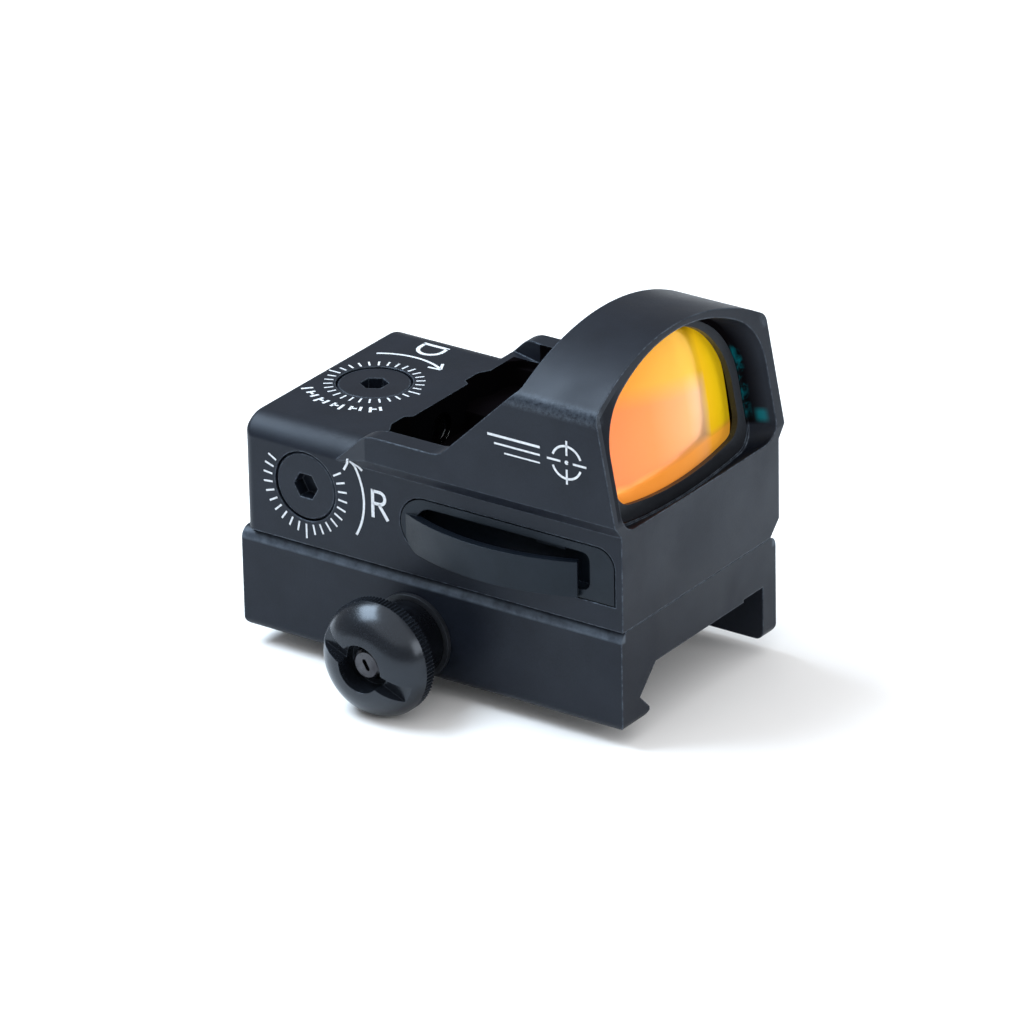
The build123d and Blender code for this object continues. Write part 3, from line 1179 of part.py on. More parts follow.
with BuildPart() as elevation_clip:
    with BuildSketch(Plane.XY.offset(ELEVATION_CLIP_Z)):
        with Locations((0, ELEVATION_Y)):
            Circle(CLIP_R)
            Circle(CLIP_GROOVE_R, mode=Mode.SUBTRACT)
        with Locations((0, ELEVATION_Y - CLIP_R)):
            Rectangle(CLIP_MOUTH, 2 * (CLIP_R - CLIP_BRIDGE), mode=Mode.SUBTRACT)
    extrude(amount=CLIP_THICK)
elevation_clip.part.label = "elevation_clip"
export_step(elevation_clip.part, "parts/elevation_clip.step")

# sealing rings sit in grooves of the body round each shaft
with BuildPart() as dial_seals:
    with BuildSketch(Plane.XY.offset(WINDAGE_Z)):
        with Locations((WINDAGE_RING_X, WINDAGE_Y + ORING_R)):
            Circle(ORING_WIRE_R)
    revolve(axis=Axis((0, WINDAGE_Y, WINDAGE_Z), (1, 0, 0)))
    with BuildSketch(Plane.XZ.offset(-ELEVATION_Y)):
        with Locations((ORING_R, ELEVATION_RING_Z)):
            Circle(ORING_WIRE_R)
    revolve(axis=Axis((0, ELEVATION_Y, 0), (0, 0, 1)))
dial_seals.part.label = "dial_seals"
export_step(dial_seals.part, "parts/dial_seals.step")

# click balls under the two dials, each on its own spring in a blind hole
with BuildPart() as detent_balls:
    with Locations(
        (WINDAGE_BASE - DETENT_R, WINDAGE_Y + DETENT_OFFSET, WINDAGE_Z),
        (DETENT_OFFSET, ELEVATION_Y, ELEVATION_BASE - DETENT_R),
    ):
        Sphere(DETENT_BALL_R)
detent_balls.part.label = "detent_balls"
export_step(detent_balls.part, "parts/detent_balls.step")

detent_spring_length = DETENT_SPRING_START - DETENT_SPRING_STOP
detent_springs = Compound(
    children=[
        coil(
            Plane(origin=place, z_dir=direction),
            DETENT_SPRING_R,
            DETENT_WIRE_R,
            detent_spring_length,
            DETENT_SPRING_TURNS,
        )
        for place, direction in (
            (
                (WINDAGE_BASE - DETENT_SPRING_START, WINDAGE_Y + DETENT_OFFSET, WINDAGE_Z),
                (1, 0, 0),
            ),
            ((DETENT_OFFSET, ELEVATION_Y, ELEVATION_BASE - DETENT_SPRING_START), (0, 0, 1)),
        )
    ]
)
detent_springs.label = "detent_springs"
export_step(detent_springs, "parts/detent_springs.step")

# ================================================================ emitter mechanism
with BuildPart() as windage_slider:
    # flat plate with a window for the carriage's post
    with BuildSketch(Plane.XY.offset(SLIDER_BOTTOM)):
        with Locations((SLIDER_X, SLIDER_Y)):
            Rectangle(SLIDER_LENGTH, SLIDER_WIDTH)
        with Locations((0, CARRIAGE_Y)):
            Rectangle(POST_X + 2 * FIT, POST_Y + 2 * FIT, mode=Mode.SUBTRACT)
    extrude(amount=SLIDER_TOP - SLIDER_BOTTOM)
    # upright lug, tapped for the windage screw
    with BuildSketch(Plane.XY.offset(SLIDER_TOP)):
        with Locations((LUG_X, WINDAGE_Y)):
            Rectangle(LUG_THICK, LUG_WIDTH)
    extrude(amount=LUG_TOP - SLIDER_TOP)
    with BuildSketch(Plane.YZ):
        with Locations((WINDAGE_Y, WINDAGE_Z)):
            Circle(SCREW_R + FIT)
    extrude(amount=LUG_X + LUG_THICK, mode=Mode.SUBTRACT)
    with BuildSketch(Plane.YZ):
        with Locations((GUIDE_ROD_Y, GUIDE_ROD_Z)):
            Circle(GUIDE_ROD_R + FIT)
    extrude(amount=GUIDE_ROD_END, both=True, mode=Mode.SUBTRACT)
windage_slider.part.label = "windage_slider"
export_step(windage_slider.part, "parts/windage_slider.step")

with BuildPart() as guide_rod:
    with BuildSketch(Plane.YZ):
        with Locations((GUIDE_ROD_Y, GUIDE_ROD_Z)):
            Circle(GUIDE_ROD_R)
    extrude(amount=GUIDE_ROD_END, both=True)
guide_rod.part.label = "guide_rod"
export_step(guide_rod.part, "parts/guide_rod.step")

with BuildPart() as elevation_nut:
    with BuildSketch(Plane.XY.offset(NUT_BOTTOM)):
        with Locations((0, NUT_MIDDLE_Y)):
            Rectangle(NUT_X, NUT_Y)
        with Locations((0, ELEVATION_Y)):
            Circle(SCREW_R + FIT, mode=Mode.SUBTRACT)
    extrude(amount=NUT_TOP - NUT_BOTTOM)
elevation_nut.part.label = "elevation_nut"
export_step(elevation_nut.part, "parts/elevation_nut.step")

with BuildPart() as emitter_carriage:
    # shelf that the nut presses on, upright face for the emitter, and post with a spring bore
    with BuildSketch(Plane.XY.offset(SHELF_BOTTOM)):
        with Locations((0, (SHELF_REAR + SHELF_FRONT) / 2)):
            Rectangle(SHELF_X, SHELF_FRONT - SHELF_REAR)
    extrude(amount=SHELF_TOP - SHELF_BOTTOM)
    with BuildSketch(Plane.XY.offset(SHELF_BOTTOM)):
        with Locations((0, (FACE_REAR + FACE_FRONT) / 2)):
            Rectangle(FACE_X, FACE_FRONT - FACE_REAR)
    extrude(amount=FACE_TOP - SHELF_BOTTOM)
    with BuildSketch(Plane.XY.offset(POST_BOTTOM)):
        with Locations((0, CARRIAGE_Y)):
            Rectangle(POST_X, POST_Y)
    extrude(amount=SHELF_BOTTOM - POST_BOTTOM)
    with BuildSketch(Plane.XY.offset(POST_BOTTOM)):
        with Locations((0, CARRIAGE_Y)):
            Circle(POST_BORE_R)
    extrude(amount=POST_BORE_TOP - POST_BOTTOM, mode=Mode.SUBTRACT)
emitter_carriage.part.label = "emitter_carriage"
export_step(emitter_carriage.part, "parts/emitter_carriage.step")

with BuildPart() as led_emitter:
    with BuildSketch(Plane.XZ.offset(-FACE_FRONT)):
        with Locations((0, LED_CHIP_Z)):
            Rectangle(LED_BASE_WIDTH, LED_BASE_HEIGHT)
    extrude(amount=-LED_BASE_THICK)
    with BuildSketch(Plane.XZ.offset(-FACE_FRONT - LED_BASE_THICK)):
        with Locations((0, LED_CHIP_Z)):
            Rectangle(LED_CAP_WIDTH, LED_CAP_HEIGHT)
    extrude(amount=-LED_CAP_THICK)
led_emitter.part.label = "led_emitter"
export_step(led_emitter.part, "parts/led_emitter.step")

carriage_spring = coil(
    Plane(origin=(0, CARRIAGE_Y, CARRIAGE_SPRING_START), z_dir=(0, 0, 1)),
    CARRIAGE_SPRING_R,
    CARRIAGE_WIRE_R,
    CARRIAGE_SPRING_LENGTH,
    CARRIAGE_SPRING_TURNS,
)
carriage_spring.label = "carriage_spring"
export_step(carriage_spring, "parts/carriage_spring.step")

slider_spring = coil(
    Plane(origin=(SLIDER_SPRING_START, WINDAGE_Y, WINDAGE_Z), z_dir=(1, 0, 0)),
    SLIDER_SPRING_R,
    SLIDER_WIRE_R,
    SLIDER_SPRING_LENGTH,
    SLIDER_SPRING_TURNS,
)
slider_spring.label = "slider_spring"
export_step(slider_spring, "parts/slider_spring.step")

with BuildPart() as emitter_window:
    with BuildSketch(Plane.XZ.offset(-CAVITY_REAR + WINDOW_SEAT_DEPTH)):
        with Locations((0, LED_Z)):
            Circle(WINDOW_SEAT_R - FIT)
    extrude(amount=FIT - WINDOW_SEAT_DEPTH)
emitter_window.part.label = "emitter_window"
export_step(emitter_window.part, "parts/emitter_window.step")

# ================================================================ switch, board and button
with BuildPart() as circuit_board:
    with BuildSketch(Plane.YZ.offset(BOARD_X)):
        with Locations((BOARD_Y, BOARD_Z)):
            Rectangle(BOARD_LENGTH, BOARD_HEIGHT)
    extrude(amount=BOARD_THICK)
circuit_board.part.label = "circuit_board"
export_step(circuit_board.part, "parts/circuit_board.step")

with BuildPart() as board_chips:
    with BuildSketch(Plane.YZ.offset(BOARD_X + BOARD_THICK)):
        with Locations((CHIP_Y, CHIP_Z)):
            Rectangle(CHIP_LENGTH, CHIP_HEIGHT)
        with Locations(
            (SMALL_CHIP_Y, BOARD_Z - SMALL_CHIP_SPREAD), (SMALL_CHIP_Y, BOARD_Z + SMALL_CHIP_SPREAD)
        ):
            Rectangle(SMALL_CHIP_LENGTH, SMALL_CHIP_HEIGHT)
    extrude(amount=CHIP_THICK)
board_chips.part.label = "board_chips"
export_step(board_chips.part, "parts/board_chips.step")

with BuildPart() as tactile_switch:
    with BuildSketch(Plane.YZ.offset(BOARD_X)):
        with Locations((BUTTON_Y, BUTTON_Z)):
            Rectangle(SWITCH_SIZE, SWITCH_SIZE)
    extrude(amount=-SWITCH_HEIGHT)
    with BuildSketch(Plane.YZ.offset(BOARD_X - SWITCH_HEIGHT)):
        with Locations((BUTTON_Y, BUTTON_Z)):
            Circle(SWITCH_PAD_R)
    extrude(amount=-SWITCH_PAD_HEIGHT)
tactile_switch.part.label = "tactile_switch"
export_step(tactile_switch.part, "parts/tactile_switch.step")

with BuildPart() as power_button:
    with BuildSketch(Plane.YZ.offset(-BODY_HALF_WIDTH - BUTTON_STAND)):
        with Locations((BUTTON_Y, BUTTON_Z)):
            Circle(BUTTON_R)
    extrude(amount=BUTTON_STAND + BUTTON_SKIRT_DEPTH)
    with BuildSketch(Plane.YZ.offset(-BODY_HALF_WIDTH + BUTTON_SKIRT_DEPTH)):
        with Locations((BUTTON_Y, BUTTON_Z)):
            Circle(BUTTON_STEM_R)
    extrude(amount=BUTTON_STEM_END + BODY_HALF_WIDTH - BUTTON_SKIRT_DEPTH)
    fillet(power_button.faces().sort_by(Axis.X)[0].edges(), BUTTON_EDGE)
power_button.part.label = "power_button"
export_step(power_button.part, "parts/power_button.step")

with BuildPart() as button_seal:
    with BuildSketch(Plane.XY.offset(BUTTON_Z)):
        with Locations((BUTTON_RING_X, BUTTON_Y + ORING_R)):
            Circle(ORING_WIRE_R)
    revolve(axis=Axis((0, BUTTON_Y, BUTTON_Z), (1, 0, 0)))
button_seal.part.label = "button_seal"
export_step(button_seal.part, "parts/button_seal.step")

# ================================================================ battery drawer
# bowed pull: thin strap fixed at its rear end and free at its front end
with BuildPart() as pull_strap:
    with BuildSketch(Plane.XY.offset(PULL_BOTTOM)):
        with BuildLine():
            ThreePointArc(
                (PULL_ROOT_X, PULL_REAR),
                (PULL_ROOT_X + PULL_BULGE, (PULL_REAR + PULL_FRONT) / 2),
                (PULL_TIP_X, PULL_FRONT),
            )
        trace(line_width=PULL_THICK)
    extrude(amount=PULL_TOP - PULL_BOTTOM)
    # its root follows the drawer's round rear end
    extrude(
        drawer_sketch(DRAWER_PLATE_X, SEAL_OUTSIDE),
        amount=2 * (BODY_HALF_WIDTH - DRAWER_PLATE_X) + PULL_BULGE,
        mode=Mode.INTERSECT,
    )

with BuildPart() as battery_tray:
    extrude(drawer_sketch(BODY_HALF_WIDTH, 0), amount=-(BODY_HALF_WIDTH - DRAWER_PLATE_X))
    # finger pocket behind the pull
    with BuildSketch(Plane.YZ.offset(BODY_HALF_WIDTH)) as pocket:
        with Locations(((POCKET_REAR + POCKET_FRONT) / 2, (POCKET_BOTTOM + POCKET_TOP) / 2)):
            Rectangle(POCKET_FRONT - POCKET_REAR, POCKET_TOP - POCKET_BOTTOM)
        fillet(pocket.vertices().group_by(Axis.X)[-1], POCKET_FRONT_R)
        fillet(pocket.vertices().group_by(Axis.X)[0], POCKET_REAR_R)
    extrude(amount=-(BODY_HALF_WIDTH - POCKET_FLOOR_X), mode=Mode.SUBTRACT)
    # tray that carries the cell
    with BuildSketch(Plane.XY.offset(TRAY_FLOOR)) as tray_outline:
        with Locations(((DRAWER_PLATE_X + TRAY_INNER_X) / 2, DRAWER_Y)):
            Rectangle(DRAWER_PLATE_X - TRAY_INNER_X, 2 * TRAY_HALF)
        fillet(tray_outline.vertices().group_by(Axis.X)[0], TRAY_CORNER_R)
    extrude(amount=TRAY_TOP - TRAY_FLOOR)
    with BuildSketch(Plane.XY.offset(CELL_BOTTOM)):
        with Locations((CELL_X, DRAWER_Y)):
            Circle(CELL_R + CELL_GAP)
    extrude(amount=CELL_THICK, mode=Mode.SUBTRACT)
    # opening in the floor for the lower contact, open towards the inner end
    with BuildSketch(Plane.XY.offset(TRAY_FLOOR)):
        with Locations((LEAF_WAY_X, DRAWER_Y)):
            Rectangle(LEAF_WAY_LENGTH, LEAF_WAY_WIDTH)
    extrude(amount=CELL_BOTTOM - TRAY_FLOOR, mode=Mode.SUBTRACT)
    add(pull_strap.part)
    # small stop rib at the top of the pocket
    with BuildSketch(Plane.YZ.offset(POCKET_FLOOR_X)):
        with Locations((RIB_Y, POCKET_TOP - RIB_HEIGHT / 2)):
            Rectangle(RIB_LENGTH, RIB_HEIGHT)
    extrude(amount=RIB_STAND)
battery_tray.part.label = "battery_tray"
export_step(battery_tray.part, "parts/battery_tray.step")

with BuildPart() as battery_cell:
    with BuildSketch(Plane.XY.offset(CELL_BOTTOM)):
        with Locations((CELL_X, DRAWER_Y)):
            Circle(CELL_R - CELL_RIM)
    extrude(amount=CELL_STEP)
    with BuildSketch(Plane.XY.offset(CELL_BOTTOM + CELL_STEP)):
        with Locations((CELL_X, DRAWER_Y)):
            Circle(CELL_R)
    extrude(amount=CELL_THICK - CELL_STEP)
    fillet(battery_cell.faces().sort_by(Axis.Z)[-1].edges(), CELL_EDGE)
battery_cell.part.label = "battery_cell"
export_step(battery_cell.part, "parts/battery_cell.step")

with BuildPart() as tray_seal:
    extrude(drawer_sketch(DRAWER_PLATE_X, SEAL_OUTSIDE), amount=-SEAL_THICK)
    extrude(drawer_sketch(DRAWER_PLATE_X, SEAL_INSIDE), amount=-SEAL_THICK, mode=Mode.SUBTRACT)
tray_seal.part.label = "tray_seal"
export_step(tray_seal.part, "parts/tray_seal.step")

# springy leaf that presses on the top of the cell
with BuildPart() as contact_plus:
    with BuildSketch(Plane.YZ.offset(PLUS_X - LEAF_WIDTH / 2)):
        with BuildLine():
            Polyline(
                (PLUS_REAR, PLUS_Z),
                (PLUS_BEND, PLUS_Z),
                (PLUS_TOUCH, CELL_TOP + LEAF_THICK + FIT),
                (PLUS_FRONT, PLUS_Z),
            )
        trace(line_width=LEAF_THICK)
    extrude(amount=LEAF_WIDTH)
contact_plus.part.label = "contact_plus"
export_step(contact_plus.part, "parts/contact_plus.step")

# springy leaf on the floor of the bay that reaches the underside of the cell
leaf_z = TRAY_BAY_FLOOR + LEAF_THICK / 2
with BuildPart() as contact_minus:
    with BuildSketch(Plane.YZ.offset(MINUS_X - LEAF_WIDTH / 2)):
        with BuildLine():
            Polyline(
                (MINUS_REAR, leaf_z),
                (MINUS_BEND, leaf_z),
                ((MINUS_BEND + MINUS_FRONT) / 2, CELL_BOTTOM - LEAF_THICK),
                (MINUS_FRONT, leaf_z + LEAF_THICK),
            )
        trace(line_width=LEAF_THICK)
    extrude(amount=LEAF_WIDTH)
contact_minus.part.label = "contact_minus"
export_step(contact_minus.part, "parts/contact_minus.step")
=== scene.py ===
import json
import math

import bmesh
import bpy
from mathutils import Matrix, Vector
from mathutils.bvhtree import BVHTree


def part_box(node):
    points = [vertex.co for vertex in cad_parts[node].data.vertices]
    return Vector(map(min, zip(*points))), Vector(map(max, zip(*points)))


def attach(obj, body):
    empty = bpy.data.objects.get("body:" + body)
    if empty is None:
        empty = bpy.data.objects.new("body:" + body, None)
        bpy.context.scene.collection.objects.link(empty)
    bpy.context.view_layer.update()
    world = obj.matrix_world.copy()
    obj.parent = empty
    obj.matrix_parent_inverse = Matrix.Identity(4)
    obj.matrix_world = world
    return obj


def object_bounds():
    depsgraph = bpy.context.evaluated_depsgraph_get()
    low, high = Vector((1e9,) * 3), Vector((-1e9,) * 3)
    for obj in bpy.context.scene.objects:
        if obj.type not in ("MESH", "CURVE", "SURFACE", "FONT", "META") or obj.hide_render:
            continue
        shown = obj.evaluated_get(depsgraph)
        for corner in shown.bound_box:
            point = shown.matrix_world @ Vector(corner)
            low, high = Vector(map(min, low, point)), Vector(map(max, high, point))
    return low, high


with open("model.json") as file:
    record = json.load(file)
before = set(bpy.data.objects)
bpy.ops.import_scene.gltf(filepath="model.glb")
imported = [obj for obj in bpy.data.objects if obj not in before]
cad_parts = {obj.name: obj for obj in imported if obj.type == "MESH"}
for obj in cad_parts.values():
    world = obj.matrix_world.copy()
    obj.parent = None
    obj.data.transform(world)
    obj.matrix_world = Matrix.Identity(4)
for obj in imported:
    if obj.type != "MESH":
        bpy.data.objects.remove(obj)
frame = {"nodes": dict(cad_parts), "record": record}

# A micro reflex sight on a rail mount. Metres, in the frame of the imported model:
# +X is the shooter's right, +Y points at the target, +Z is up.
MM = 0.001
CAD_LOW, CAD_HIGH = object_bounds()
GLOSS = 0.25                   # specular level of the anodised parts
METAL_SHEEN = (0.80, 0.89, 1.0)
PLASTIC_SHEEN = (0.72, 0.86, 1.0)
# painted shade colour for the space behind the lens and the hood's mouth; behind the lens it also
# stands for a matt black coat
MATT_AND_SHADE_BLACK = (0.0025, 0.002, 0.0025)
# painted shade colour for the knob's neck
NECK_SHADE_BLACK = (0.002, 0.002, 0.003)
# colour of the painted teal reflections in the hood's mouth
TEAL_GLINT = (0.0, 0.14, 0.17)
INSIDE_DULLER = 0.45           # added to the roughness inside
EDGE_START, EDGE_FULL = 0.995, 0.86   # cosines of the turn that rounding gives the normal
NO_LIMIT = -1.0                # a metre away, so that this side of a window_mask is open


# ---------------------------------------------------------------- node helpers
def start_material(name):
    """A new node material, its node tree, its main shader and its output."""
    material = bpy.data.materials.new(name)
    material.use_nodes = True
    tree = material.node_tree
    shader = tree.nodes["Principled BSDF"]
    output = tree.nodes["Material Output"]
    return material, tree, shader, output


def object_coords(tree):
    """Object coordinates, which are metres in the shared frame."""
    return tree.nodes.new("ShaderNodeTexCoord").outputs["Object"]


def noise(tree, coords, scale, detail=3.0, roughness=0.55, distortion=0.0):
    node = tree.nodes.new("ShaderNodeTexNoise")
    node.inputs["Scale"].default_value = scale
    node.inputs["Detail"].default_value = detail
    node.inputs["Roughness"].default_value = roughness
    node.inputs["Distortion"].default_value = distortion
    tree.links.new(coords, node.inputs["Vector"])
    return node.outputs["Fac"]


def remap(tree, value, low, high, to_low, to_high):
    node = tree.nodes.new("ShaderNodeMapRange")
    node.inputs["From Min"].default_value = low
    node.inputs["From Max"].default_value = high
    node.inputs["To Min"].default_value = to_low
    node.inputs["To Max"].default_value = to_high
    tree.links.new(value, node.inputs["Value"])
    return node.outputs["Result"]


def ramp(tree, value, stops):
    node = tree.nodes.new("ShaderNodeValToRGB")
    elements = node.color_ramp.elements
    while len(elements) < len(stops):
        elements.new(0.5)
    for element, (position, colour) in zip(elements, stops):
        element.position = position
        element.color = (*colour, 1.0)
    tree.links.new(value, node.inputs["Fac"])
    return node.outputs["Color"]


def mix_colour(tree, factor, first, second):
    """Mixes two colours; each is a socket or an (r, g, b)."""
    node = tree.nodes.new("ShaderNodeMix")
    node.data_type = "RGBA"
    sockets = [s for s in node.inputs if s.type == "RGBA"]
    for socket, value in zip(sockets, (first, second)):
        if isinstance(value, tuple):
            socket.default_value = (*value, 1.0)
        else:
            tree.links.new(value, socket)
    tree.links.new(factor, node.inputs[0])
    return [s for s in node.outputs if s.type == "RGBA"][0]


def math_node(tree, operation, first, second=None, clamp=False):
    node = tree.nodes.new("ShaderNodeMath")
    node.operation = operation
    node.use_clamp = clamp
    for socket, value in zip(node.inputs, (first, second)):
        if value is None:
            continue
        if isinstance(value, (int, float)):
            socket.default_value = value
        else:
            tree.links.new(value, socket)
    return node.outputs["Value"]


def product(tree, *factors):
    """The product of two or more sockets or numbers."""
    result = factors[0]
    for factor in factors[1:]:
        result = math_node(tree, "MULTIPLY", result, factor)
    return result


def split(tree, vector):
    """The three components of a vector."""
    node = tree.nodes.new("ShaderNodeSeparateXYZ")
    tree.links.new(vector, node.inputs["Vector"])
    return node.outputs["X"], node.outputs["Y"], node.outputs["Z"]


def bump(tree, height, strength, distance, normal=None):
    node = tree.nodes.new("ShaderNodeBump")
    node.inputs["Strength"].default_value = strength
    node.inputs["Distance"].default_value = distance
    tree.links.new(height, node.inputs["Height"])
    if normal is not None:
        tree.links.new(normal, node.inputs["Normal"])
    return node.outputs["Normal"]


def rounded_edges(tree, radius):
    """Normals of slightly rounded edges, and a mask that is 1 on the edges."""
    bevel = tree.nodes.new("ShaderNodeBevel")
    bevel.samples = 4
    bevel.inputs["Radius"].default_value = radius
    geometry = tree.nodes.new("ShaderNodeNewGeometry")
    dot = tree.nodes.new("ShaderNodeVectorMath")
    dot.operation = "DOT_PRODUCT"
    tree.links.new(bevel.outputs["Normal"], dot.inputs[0])
    tree.links.new(geometry.outputs["Normal"], dot.inputs[1])
    edge = remap(tree, dot.outputs["Value"], EDGE_START, EDGE_FULL, 0.0, 1.0)
    return bevel.outputs["Normal"], edge


def window_mask(tree, value, low, high, soft):
    """1 between low and high, falling to 0 over the soft width outside."""
    rise = remap(tree, value, low - soft, low, 0.0, 1.0)
    fall = remap(tree, value, high, high + soft, 1.0, 0.0)
    return math_node(tree, "MULTIPLY", rise, fall)


def within_radius(tree, across, height, radius, soft):
    """1 inside the cylinder that the hood's arch is part of, with the given radius."""
    rise = math_node(tree, "SUBTRACT", height, ARCH_CENTRE_Z)
    squares = math_node(tree, "ADD", product(tree, rise, rise), product(tree, across, across))
    return window_mask(tree, math_node(tree, "SQRT", squares), NO_LIMIT, radius, soft)


def inside_mask(tree, coords):
    """1 on the faces that look into the open space behind the lens, which are painted near-black:
    painted shade for the recess, and also its matt black coat.
    """
    side, along, height = split(tree, coords)
    across = math_node(tree, "ABSOLUTE", side)
    soft = INSIDE_SOFT
    deck = remap(tree, along, DECK_EDGE - soft, DECK_EDGE, 0.0, 1.0)
    low = remap(tree, height, DECK_TOP - 2 * soft, DECK_TOP - soft, 1.0, 0.0)
    return product(
        tree,
        window_mask(tree, across, NO_LIMIT, INSIDE_HALF_WIDTH, soft),
        window_mask(tree, along, INSIDE_REAR, INSIDE_FRONT, soft),
        window_mask(tree, height, INSIDE_FLOOR, -NO_LIMIT, soft),
        math_node(tree, "MAXIMUM", deck, low),
        within_radius(tree, across, height, ARCH_INNER_R, soft),
    )


def crease_highlight_and_wear(tree, coords):
    """Painted highlight with rubbed wear: light patches along the crease between the arch and the
    hood's upright sides.
    """
    side, _, height = split(tree, coords)
    across = math_node(tree, "ABSOLUTE", side)
    rub_and_highlight = remap(tree, noise(tree, coords, 2600, 4.0, 0.7, 0.3), 0.30, 0.76, 0.0, CREASE_STRENGTH)
    return product(
        tree,
        remap(tree, across, CREASE_INNER, CREASE_OUTER, 0.0, 1.0),
        window_mask(tree, height, CREASE_LOW, CREASE_HIGH, CREASE_SOFT),
        rub_and_highlight,
    )


def mouth_depth(tree, across, along, height):
    """Depth behind the hood's front face, which leans back."""
    rise = math_node(tree, "SUBTRACT", height, LEAN_FROM)
    front = math_node(tree, "SUBTRACT", FRONT_Y, product(tree, rise, math.tan(LEAN)))
    depth = product(tree, math_node(tree, "SUBTRACT", front, along), math.cos(LEAN))
    # the rim beside the +X end of the mouth faces away from the light, so it counts as deeper
    shaded = remap(tree, across, SHADED_RIM_START, SHADED_RIM_END, 0.0, SHADED_RIM_DEPTH)
    return math_node(tree, "ADD", depth, shaded)


def mouth_mask(tree, coords):
    """Painted shade in the hood's mouth, which grows with depth, and where painted teal
    reflections show.
    """
    across, along, height = split(tree, coords)
    depth = mouth_depth(tree, across, along, height)
    soft = MOUTH_SOFT
    depth_shade = product(
        tree,
        remap(tree, depth, MOUTH_DARK_START, MOUTH_DARK_FULL, 0.0, MOUTH_DARKEST),
        window_mask(tree, math_node(tree, "ABSOLUTE", across), NO_LIMIT, MOUTH_HALF_WIDTH, soft),
        within_radius(tree, across, height, MOUTH_ARCH_R, soft),
        remap(tree, across, 2.0 * MM, -3.0 * MM, MOUTH_NEAR_SIDE, 1.0),
        remap(tree, along, MOUTH_REAR - soft, MOUTH_REAR, 0.0, 1.0),
        remap(tree, height, MOUTH_SILL, MOUTH_SILL + MOUTH_SILL_SOFT, 0.0, 1.0),
    )
    # painted reflection: the teal light the lens throws on the wall at its -X end, a broken
    # streak and a corner patch
    streak = product(
        tree,
        remap(tree, noise(tree, coords, 900, 3.0, 0.6, 0.5), 0.44, 0.66, 0.0, STREAK_STRENGTH),
        window_mask(tree, depth, 2.25 * MM, 2.5 * MM, 0.35 * MM),
        window_mask(tree, height, 19.0 * MM, 25.5 * MM, 0.8 * MM),
    )
    corner = product(
        tree,
        window_mask(tree, depth, 1.0 * MM, 1.4 * MM, 0.5 * MM),
        window_mask(tree, height, 18.3 * MM, 18.9 * MM, 0.6 * MM),
        CORNER_STRENGTH,
    )
    teal = product(
        tree,
        math_node(tree, "MAXIMUM", streak, corner),
        remap(tree, across, GLINT_START, GLINT_FULL, 0.0, 1.0),
    )
    return depth_shade, teal


def seam_highlight(tree, coords):
    """Painted highlight: light patches on the rounded upper edge of the mount's sides, under the
    body, for the light the rounding would catch.
    """
    side, _, height = split(tree, coords)
    across = math_node(tree, "ABSOLUTE", side)
    return product(
        tree,
        remap(tree, across, SEAM_INNER, SEAM_FULL, 0.0, 1.0),
        window_mask(tree, height, SEAM_LOW, SEAM_HIGH, SEAM_SOFT),
        remap(tree, noise(tree, coords, 700, 3.0, 0.6), 0.3, 0.65, *SEAM_STRENGTH),
    )


def neck_shade_mask(tree, coords):
    """Painted shade: 1 on the knob's neck, behind its knurled ring, darkened for the shadow
    there.
    """
    side, _, _ = split(tree, coords)
    return remap(tree, side, NECK_END, NECK_END - NECK_SOFT, 0.0, NECK_STRENGTH)


